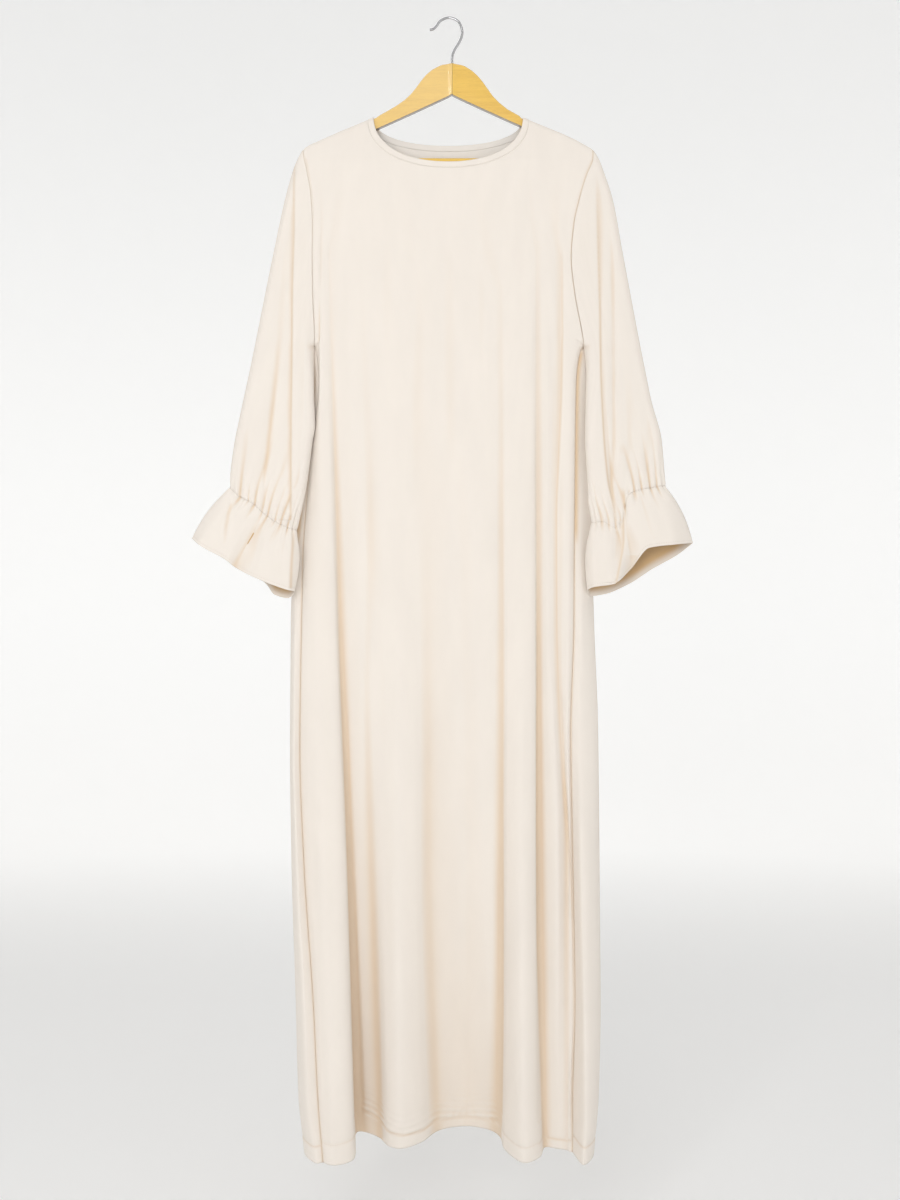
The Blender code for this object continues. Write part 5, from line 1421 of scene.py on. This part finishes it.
def arms_material(settings):
    """Honey varnish over beech: the left half paler with a painted sheen, a joint in the middle,
    and painted shade on the underside.
    """
    material = wood_material("varnished_beech", settings.wood_light, settings.wood_dark, 0.3)
    tree = material.node_tree
    grain = tree.nodes["Principled BSDF"].inputs["Base Color"].links[0].from_socket
    place = add_node(tree, "ShaderNodeTexCoord")
    x = add_node(tree, "ShaderNodeSeparateXYZ", {"Vector": place.outputs["Object"]}).outputs["X"]
    # Painted sheen: the left half is lightened as if lit from the left
    sheened_grain = blend(tree, 0.35, grain, settings.painted_left_sheen)
    grain_with_left_sheen = blend(tree, ramp(tree, x, 0.0042, 0.0050, 1.0, 0.0), grain, sheened_grain)
    from_joint = calculated(tree, "ABSOLUTE", calculated(tree, "SUBTRACT", x, JOINT_X))
    joint = ramp(tree, from_joint, 0.0002, 0.0006, 0.55, 1.0)
    # Painted shade on faces that point down, where the underside lies in shadow
    facing = add_node(tree, "ShaderNodeSeparateXYZ", {"Vector": place.outputs["Normal"]})
    painted_underside_shade = ramp(tree, facing.outputs["Z"], -0.85, -0.55, 0.15, 1.0)
    value = calculated(tree, "MULTIPLY", joint, painted_underside_shade)
    return feed_shader(material, Base_Color=brightened(tree, grain_with_left_sheen, value))


def chrome_material(settings):
    """Bright plated wire with faint polishing marks."""
    material = new_material("chrome_wire", Metallic=1.0, IOR=1.5)
    tree = material.node_tree
    marks = noise(tree, object_place(tree), 900.0, Detail=3.0)
    dull = tuple(0.9 * c for c in settings.chrome)
    return feed_shader(material, Roughness=ramp(tree, marks, 0.0, 1.0, 0.07, 0.22),
                       Base_Color=blend(tree, marks, settings.chrome, dull),
                       Normal=bumped(tree, marks, 0.05, 0.0002))


def backdrop_material(settings):
    """Pale paper in two tones, with painted light: a glow of its own behind the hanger that fades
    towards the top.
    """
    material = new_material("backdrop_paper", Roughness=0.95)
    tree = material.node_tree
    split = add_node(tree, "ShaderNodeSeparateXYZ", {"Vector": object_place(tree)})
    y, z = split.outputs["Y"], split.outputs["Z"]
    soft = {"interpolation_type": "SMOOTHSTEP"}
    shade = blend(tree, ramp(tree, z, FLOOR_Z, WALL_FULL_Z, **soft), settings.floor, settings.wall)
    behind = ramp(tree, y, *PAINTED_GLOW_Y, 0.0, settings.painted_glow, **soft)
    painted_glow_fade = ramp(tree, z, WALL_FULL_Z, WALL_DIM_Z, 1.0, WALL_TOP_GLOW, **soft)
    # Painted light: the backdrop glows behind the hanger
    return feed_shader(material, Base_Color=shade, Emission_Color=shade,
                       Emission_Strength=calculated(tree, "MULTIPLY", behind, painted_glow_fade))


# Sizes and colours

class ClothSettings(bpy.types.PropertyGroup):
    color: bpy.props.FloatVectorProperty(
        name="Crepe", description="Colour of the crepe", subtype="COLOR", size=3, min=0, max=1,
        default=(0.86, 0.795, 0.725))
    # Colour of the painted shade in valleys, at seams and on the cloth's inside
    hollow: bpy.props.FloatVectorProperty(
        name="Valleys", description="Warmer colour of the crepe deep in a fold", subtype="COLOR",
        size=3, min=0, max=1, default=(0.70, 0.48, 0.26))
    # Colour of the painted light on crests
    crest: bpy.props.FloatVectorProperty(
        name="Crests", description="Cooler colour of the crepe where it stands proud",
        subtype="COLOR", size=3, min=0, max=1, default=(0.87, 0.825, 0.775))
    thread: bpy.props.FloatVectorProperty(
        name="Thread", description="Colour of the sewing thread", subtype="COLOR", size=3, min=0,
        max=1, default=(0.80, 0.71, 0.61))
    thickness: bpy.props.FloatProperty(
        name="Thickness", description="Wall of the crepe in millimetres", default=0.8, min=0.3,
        max=1.5)
    stitch: bpy.props.FloatProperty(
        name="Stitch", description="Length of a stitch in millimetres", default=2.6, min=1.5, max=5)


class HangerSettings(bpy.types.PropertyGroup):
    wood_light: bpy.props.FloatVectorProperty(
        name="Wood", description="Main colour of the varnished wood", subtype="COLOR", size=3,
        min=0, max=1, default=(0.88, 0.56, 0.10))
    wood_dark: bpy.props.FloatVectorProperty(
        name="Grain", description="Colour of the grain", subtype="COLOR", size=3, min=0, max=1,
        default=(0.77, 0.46, 0.08))
    # Colour of the painted sheen on the left half of the arms
    painted_left_sheen: bpy.props.FloatVectorProperty(
        name="Left board", description="Colour that lightens the left half", subtype="COLOR",
        size=3, min=0, max=1, default=(0.92, 0.70, 0.38))
    # Painted light: the bar's wood is a lighter copy of the arms' wood, to offset the shade between
    # the garment's layers
    bar_lightened_wood: bpy.props.FloatVectorProperty(
        name="Bar", description="Main colour of the bar, between the garment's layers",
        subtype="COLOR", size=3, min=0, max=1, default=(0.92, 0.60, 0.10))
    chrome: bpy.props.FloatVectorProperty(
        name="Chrome", description="Colour of the plated wire", subtype="COLOR", size=3, min=0,
        max=1, default=(0.52, 0.52, 0.53))
    top_round: bpy.props.FloatProperty(
        name="Top edges", description="Rounding of the arms' upper edges in millimetres",
        default=3.6, min=1, max=5)
    bottom_round: bpy.props.FloatProperty(
        name="Lower edges", description="Rounding of the arms' lower edges in millimetres",
        default=1.2, min=0.5, max=5)


class StageSettings(bpy.types.PropertyGroup):
    wall: bpy.props.FloatVectorProperty(
        name="Wall", description="Colour of the round wall", subtype="COLOR", size=3, min=0, max=1,
        default=(0.965, 0.965, 0.96))
    floor: bpy.props.FloatVectorProperty(
        name="Floor", description="Colour of the floor", subtype="COLOR", size=3, min=0, max=1,
        default=(0.94, 0.935, 0.925))
    key: bpy.props.FloatProperty(
        name="Key light", description="Power of the large soft light in watts", default=12.1, min=0,
        max=2000)
    sky: bpy.props.FloatProperty(
        name="Sky", description="Strength of the pale sky over the stage", default=0.765, min=0,
        max=5)
    # Strength of the wall's painted light, a glow of its own behind the hanger
    painted_glow: bpy.props.FloatProperty(
        name="Glow", description="Light of the lit wall behind the hanger", default=0.19, min=0,
        max=2)


# Pieces

class ABAYA_OT_panels(bpy.types.Operator):
    """Front and back panels of the body"""
    bl_idname = "abaya.panels"
    bl_label = "Front and back"

    def execute(self, context):
        settings = context.scene.abaya_cloth
        garment = shaped_garment()
        start, full = LEFT_SEAM_SHADE_STARTS
        for name, flat, cut in (("front", (0.51, 1.42), 0.60), ("back", (0.67, 1.44), 0.76)):
            grid = garment[name]
            # Painted shade of the side seams; on the left it only begins lower down
            left = SEAM_DARK * ease((start - grid[:, :1, 2]) / (start - full))
            if name == "front":
                edges, hem_rows, hollow = (left, SEAM_DARK), FRONT_HEM, HOLLOW_DEPTH
                shade = step_lines(FRONT_CREASES, grid, False, -1)
            else:
                edges, hem_rows, hollow = (SEAM_DARK, left), BACK_HEM, BACK_HOLLOW_DEPTH
                shade = np.maximum(behind_sleeves(grid), step_lines(BACK_CREASES, grid, False, 1))
            depth, painted_line_shade = hem_line(hem_rows, grid[-1, :, 0])
            seams = (("left", 0.0, edges[0]), ("right", 0.0, edges[1]), ("bottom", depth, painted_line_shade))
            piece = sheet_object("crepe_" + name, grid, False, settings.thickness,
                                 shared_crepe(settings), INSIDE_SHADES["panel"], seams, shade,
                                 hollow)
            hem = line_on(grid, False, "bottom", depth)
            thread = stitches_object("hem_stitches_" + name, [hem], settings.stitch,
                                     thread_material(settings))
            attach(piece, "root")
            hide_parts(*(f"{name}_{band}" for band in PANEL_BANDS))
        return {"FINISHED"}


def cuff_inside(grid):
    """Shade of a flounce's inside, which light reaches at its edge."""
    start, end = CUFF_RIM
    dark = ease((edge_distance(grid, "bottom") - start) / (end - start))
    return CUFF_RIM_SHADE + (INSIDE_SHADES["cuff"] - CUFF_RIM_SHADE) * dark


class ABAYA_OT_sleeves(bpy.types.Operator):
    """Wide sleeves with their elastic gathers, and the flounces below them"""
    bl_idname = "abaya.sleeves"
    bl_label = "Sleeves and cuff flounces"

    def execute(self, context):
        settings = context.scene.abaya_cloth
        garment = shaped_garment()
        crepe = shared_crepe(settings)
        for side, word in SIDES:
            name = "sleeve_" + word
            grid = garment[name]
            shade = step_lines(SLEEVE_CREASES[side], grid, True, -1)
            piece = sheet_object("crepe_" + name, grid, True, settings.thickness, crepe,
                                 INSIDE_SHADES["sleeve"], (("top", 0.0, SEAM_DARK),), shade)
            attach(piece, "root")
            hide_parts(*(f"{name}_{band}" for band in SLEEVE_BANDS[word]))
            name = "cuff_flounce_" + word
            grid = garment[name]
            shade = step_lines(FLOUNCE_CREASES[side], grid, True, -1)
            piece = sheet_object("crepe_" + name, grid, True, settings.thickness, crepe,
                                 cuff_inside(grid), (), shade)
            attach(piece, "root")
            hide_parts(name)
            hem = line_on(grid, True, "bottom", CUFF_HEM_DEPTH)
            thread = stitches_object("cuff_stitches_" + word, [hem], settings.stitch,
                                     thread_material(settings))
        return {"FINISHED"}


class ABAYA_OT_neck_band(bpy.types.Operator):
    """Narrow folded strip that finishes the neck"""
    bl_idname = "abaya.neck_band"
    bl_label = "Neck band"

    def execute(self, context):
        settings = context.scene.abaya_cloth
        grid = neck_band_grid(shaped_garment()["counts"])
        piece = sheet_object("crepe_neck_band", grid, True, NECK_BAND_THICKNESS,
                             shared_crepe(settings), INSIDE_SHADES["panel"])
        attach(piece, "root")
        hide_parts("neck_band")
        line = line_on(grid, True, "bottom", NECK_STITCH_DEPTH)
        thread = stitches_object("neck_stitches", [line], settings.stitch,
                                 thread_material(settings))
        return {"FINISHED"}


def shared_crepe(settings):
    found = bpy.data.materials.get("cream_crepe")
    return found or crepe_material("cream_crepe", tuple(settings.color), tuple(settings.hollow),
                                   tuple(settings.crest))


def edit_selected(piece, kind):
    """Opens a piece in edit mode with nothing selected."""
    bpy.context.view_layer.objects.active = piece
    piece.select_set(True)
    bpy.ops.object.mode_set(mode="EDIT")
    bpy.ops.mesh.select_mode(type=kind)
    bpy.ops.mesh.select_all(action="DESELECT")


def select_where(piece, kind, test):
    """Selects the faces, edges or vertices of the piece in edit mode that pass a test."""
    bm = bmesh.from_edit_mesh(piece.data)
    bpy.ops.mesh.select_all(action="DESELECT")
    for item in getattr(bm, kind):
        if test(item):
            item.select_set(True)
    bm.select_flush_mode()
    bmesh.update_edit_mesh(piece.data)


def finish_piece(piece, name, material, angle=40):
    """Applies a piece's place, names it, gives it its material and smooths it."""
    if bpy.context.mode != "OBJECT":
        bpy.ops.object.mode_set(mode="OBJECT")
    bpy.ops.object.transform_apply(location=True, rotation=True, scale=True)
    piece.name = name
    piece.data.name = name
    piece.data.materials.clear()
    piece.data.materials.append(material)
    bpy.ops.object.shade_smooth_by_angle(angle=math.radians(angle))
    clear_selection()


def arm_top_z(x):
    if abs(x) < NECK_HALF_WIDTH - 3:
        outline = ARM_TOP_LEFT if x < ARM_MIDDLE_X else ARM_TOP_RIGHT
        return float(np.interp(abs(x - ARM_MIDDLE_X), *zip(*outline)))
    return float(ridge_z(x)) - CLOTH - ARM_CLEARANCE


def arm_y(x):
    """Middle of the arms' depth: swept forward at the ends, with a soft ridge at the joint."""
    return ridge_y(x) - JOINT_RIDGE * math.exp(-((x - ARM_MIDDLE_X) / JOINT_RIDGE_WIDTH) ** 2)


def arm_stations():
    """x, z of the top and z of the bottom of each section along the arms, left to right."""
    inner = sorted({ARM_MIDDLE_X + side * d for side in (-1, 1) for d in ARM_NECK_SECTIONS})
    outer = list(ARM_CLOTH_SECTIONS)
    stations = [(x, arm_top_z(x), ARM_VERTEX_Z - ARM_LOWER_SLOPE * abs(x - ARM_MIDDLE_X))
                for x in [-d for d in outer[::-1]] + inner + outer]
    for side in (-1, 1):
        ends = [(side * x, arm_top_z(side * x) - rounding, EAR_Z + rounding)
                for x, rounding in ARM_EAR_SECTIONS]
        stations = ends[::-1] + stations if side < 0 else stations + ends
    return stations


def extruded_arms(stations):
    """A box of flat sections, from one end of the arms to the other, left in edit mode."""
    clear_selection()
    x, top, bottom = stations[0]
    bpy.ops.mesh.primitive_plane_add(size=1, rotation=(0, math.radians(90), 0),
                                     location=(x * MM, arm_y(x) * MM, (top + bottom) / 2 * MM))
    piece = bpy.context.object
    edit_selected(piece, "FACE")
    bpy.ops.mesh.select_all(action="SELECT")
    height = top - bottom
    bpy.ops.transform.resize(value=(1, 2 * ARM_HALF_THICKNESS * MM, height * MM))
    for before, after in zip(stations, stations[1:]):
        shift = (after[0] - before[0], arm_y(after[0]) - arm_y(before[0]),
                 (after[1] + after[2] - before[1] - before[2]) / 2)
        bpy.ops.mesh.extrude_region_move(
            TRANSFORM_OT_translate={"value": tuple(s * MM for s in shift)})
        grown = (after[1] - after[2]) / (before[1] - before[2])
        bpy.ops.transform.resize(value=(1, 1, grown))
    turn_faces()
    bpy.ops.mesh.select_mode(type="EDGE")
    return piece


class ABAYA_OT_hanger_arms(bpy.types.Operator):
    """Two swept wooden arms, joined in the middle, with ears that hold the bar"""
    bl_idname = "abaya.hanger_arms"
    bl_label = "Hanger arms"

    def execute(self, context):
        settings = context.scene.abaya_hanger
        stations = arm_stations()
        piece = extruded_arms(stations)
        place = piece.matrix_world.copy()
        middles = [(x, (top + bottom) / 2) for x, top, bottom in stations]

        def is_long(edge, upper):
            a, b = (place @ v.co for v in edge.verts)
            if abs(a.x - b.x) < 1e-5:
                return False
            middle = np.interp((a.x + b.x) / 2 / MM, *zip(*middles)) * MM
            return ((a.z + b.z) / 2 > middle) == upper

        for upper, rounding in ((True, settings.top_round), (False, settings.bottom_round)):
            select_where(piece, "edges", lambda edge: is_long(edge, upper))
            bpy.ops.mesh.bevel(offset=rounding * MM, segments=5, clamp_overlap=True)
        bpy.ops.mesh.select_all(action="SELECT")
        bpy.ops.mesh.remove_doubles(threshold=MERGE)
        turn_faces()
        finish_piece(piece, "varnished_arms", arms_material(settings), 50)
        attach(piece, "root")
        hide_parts("hanger_arms")
        return {"FINISHED"}


class ABAYA_OT_trouser_bar(bpy.types.Operator):
    """Round wooden bar between the ears of the hanger"""
    bl_idname = "abaya.trouser_bar"
    bl_label = "Trouser bar"

    def execute(self, context):
        settings = context.scene.abaya_hanger
        clear_selection()
        bpy.ops.mesh.primitive_cylinder_add(
            vertices=40, radius=BAR_RADIUS * MM, depth=2 * (EAR_X - BAR_END_GAP) * MM,
            location=(0, BAR_Y * MM, BAR_Z * MM), rotation=(0, math.radians(90), 0))
        piece = context.object
        edit_selected(piece, "EDGE")
        end = (EAR_X - BAR_END_GAP - 0.01) * MM
        select_where(piece, "edges", lambda e: all(abs(v.co.z) > end for v in e.verts))
        bpy.ops.mesh.bevel(offset=BAR_END_BEVEL * MM, segments=3)
        # The bar's wood is painted lighter to offset the shade it lies in
        material = wood_material("bar_beech", settings.bar_lightened_wood, settings.wood_light, 0.35)
        finish_piece(piece, "bar_of_wood", material)
        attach(piece, "root")
        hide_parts("trouser_bar")
        return {"FINISHED"}


class ABAYA_OT_hook(bpy.types.Operator):
    """Hook bent from round chromed wire"""
    bl_idname = "abaya.hook"
    bl_label = "Hook"

    def execute(self, context):
        settings = context.scene.abaya_hanger
        path = np.array([(x, 0.0, z) for x, z in HOOK_PATH])
        path = np.concatenate((path[:1], path, path[-1:]))
        line = curve_rows(path[None], [WIRE_STEPS] * (len(path) - 3))[0]
        curve = bpy.data.curves.new("hook_wire", "CURVE")
        curve.dimensions = "3D"
        spline = curve.splines.new("POLY")
        spline.points.add(len(line) - 1)
        spline.points.foreach_set("co", np.column_stack((line * MM, np.ones(len(line)))).ravel())
        curve.bevel_depth = WIRE_RADIUS * MM
        curve.bevel_resolution = 6
        curve.use_fill_caps = True
        new_piece("hook_wire", curve)
        bpy.ops.object.convert(target="MESH")
        piece = context.object
        edit_selected(piece, "EDGE")
        bpy.ops.mesh.select_all(action="SELECT")
        bpy.ops.mesh.remove_doubles(threshold=MERGE)
        tip, near = line[0] * MM, 1.01 * WIRE_RADIUS * MM

        def is_rim(edge):
            return (all(math.dist(v.co, tip) < near for v in edge.verts)
                    and len(edge.link_faces) == 2
                    and max(len(face.verts) for face in edge.link_faces) > 4)

        select_where(piece, "edges", is_rim)
        bpy.ops.mesh.bevel(offset=WIRE_TIP_BEVEL * MM, segments=4)
        turn_faces()
        finish_piece(piece, "hook_wire", chrome_material(settings), 60)
        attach(piece, "root")
        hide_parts("hanger_hook")
        return {"FINISHED"}


def add_backdrop(settings):
    """A round floor and wall in one, open at the top."""
    clear_selection()
    bpy.ops.mesh.primitive_cylinder_add(vertices=96, radius=STAGE_RADIUS, depth=STAGE_HEIGHT,
                                        location=(0, 0, FLOOR_Z + STAGE_HEIGHT / 2))
    floor = bpy.context.object
    edit_selected(floor, "FACE")
    top = STAGE_HEIGHT / 2 - 0.01
    select_where(floor, "faces", lambda f: f.calc_center_median().z > top)
    bpy.ops.mesh.delete(type="ONLY_FACE")
    bpy.ops.mesh.select_mode(type="EDGE")
    select_where(floor, "edges", lambda e: all(v.co.z < -top for v in e.verts))
    bpy.ops.mesh.bevel(offset=STAGE_COVE, segments=20)
    turn_faces(inside=True)
    finish_piece(floor, "backdrop", backdrop_material(settings), 60)


class ABAYA_OT_stage(bpy.types.Operator):
    """Round pale backdrop, soft light and camera"""
    bl_idname = "abaya.stage"
    bl_label = "Stage"

    def execute(self, context):
        settings = context.scene.abaya_stage
        scene = context.scene
        add_backdrop(settings)
        world = bpy.data.worlds.new("pale_sky")
        world.use_nodes = True
        sky = world.node_tree.nodes["Background"].inputs
        sky["Color"].default_value = (1.0, 1.0, 1.0, 1.0)
        sky["Strength"].default_value = settings.sky
        scene.world = world
        for name, place, turn, size, power in LIGHTS:
            bpy.ops.object.light_add(type="AREA", location=place,
                                     rotation=tuple(math.radians(a) for a in turn))
            light = context.object
            light.name = name
            light.data.shape = "RECTANGLE"
            light.data.size, light.data.size_y = size
            light.data.energy = settings.key * power
            light.visible_camera = False
        clear_selection()
        bpy.ops.object.camera_add(location=CAMERA_PLACE, rotation=(math.radians(90), 0, 0))
        camera = context.object
        camera.name = "front_camera"
        camera.data.lens = CAMERA_LENS
        camera.data.sensor_width = 36.0
        camera.data.clip_end = 50.0
        scene.camera = camera
        scene.view_settings.view_transform = "Standard"
        clear_selection()
        return {"FINISHED"}


class ABAYA_PT_pieces(bpy.types.Panel):
    """Pieces of the abaya, its hanger and its stage"""
    bl_idname = "ABAYA_PT_pieces"
    bl_label = "Abaya"
    bl_space_type = "VIEW_3D"
    bl_region_type = "UI"
    bl_category = "Abaya"

    def draw(self, context):
        scene = context.scene
        for settings in (scene.abaya_cloth, scene.abaya_hanger, scene.abaya_stage):
            box = self.layout.box()
            for name in settings.__annotations__:
                box.prop(settings, name)
        for operator in OPERATORS:
            self.layout.operator(operator.bl_idname)


SETTINGS = {"abaya_cloth": ClothSettings, "abaya_hanger": HangerSettings,
            "abaya_stage": StageSettings}
OPERATORS = (ABAYA_OT_panels, ABAYA_OT_sleeves, ABAYA_OT_neck_band, ABAYA_OT_hanger_arms,
             ABAYA_OT_trouser_bar, ABAYA_OT_hook, ABAYA_OT_stage)


def register():
    for cls in (*SETTINGS.values(), *OPERATORS, ABAYA_PT_pieces):
        bpy.utils.register_class(cls)
    for name, cls in SETTINGS.items():
        setattr(bpy.types.Scene, name, bpy.props.PointerProperty(type=cls))


def unregister():
    for name in SETTINGS:
        delattr(bpy.types.Scene, name)
    for cls in (ABAYA_PT_pieces, *OPERATORS[::-1], *SETTINGS.values()):
        bpy.utils.unregister_class(cls)


def main():
    register()
    bpy.ops.abaya.panels()
    bpy.ops.abaya.sleeves()
    bpy.ops.abaya.neck_band()
    bpy.ops.abaya.hanger_arms()
    bpy.ops.abaya.trouser_bar()
    bpy.ops.abaya.hook()
    bpy.ops.abaya.stage()


if __name__ == "__main__":
    main()
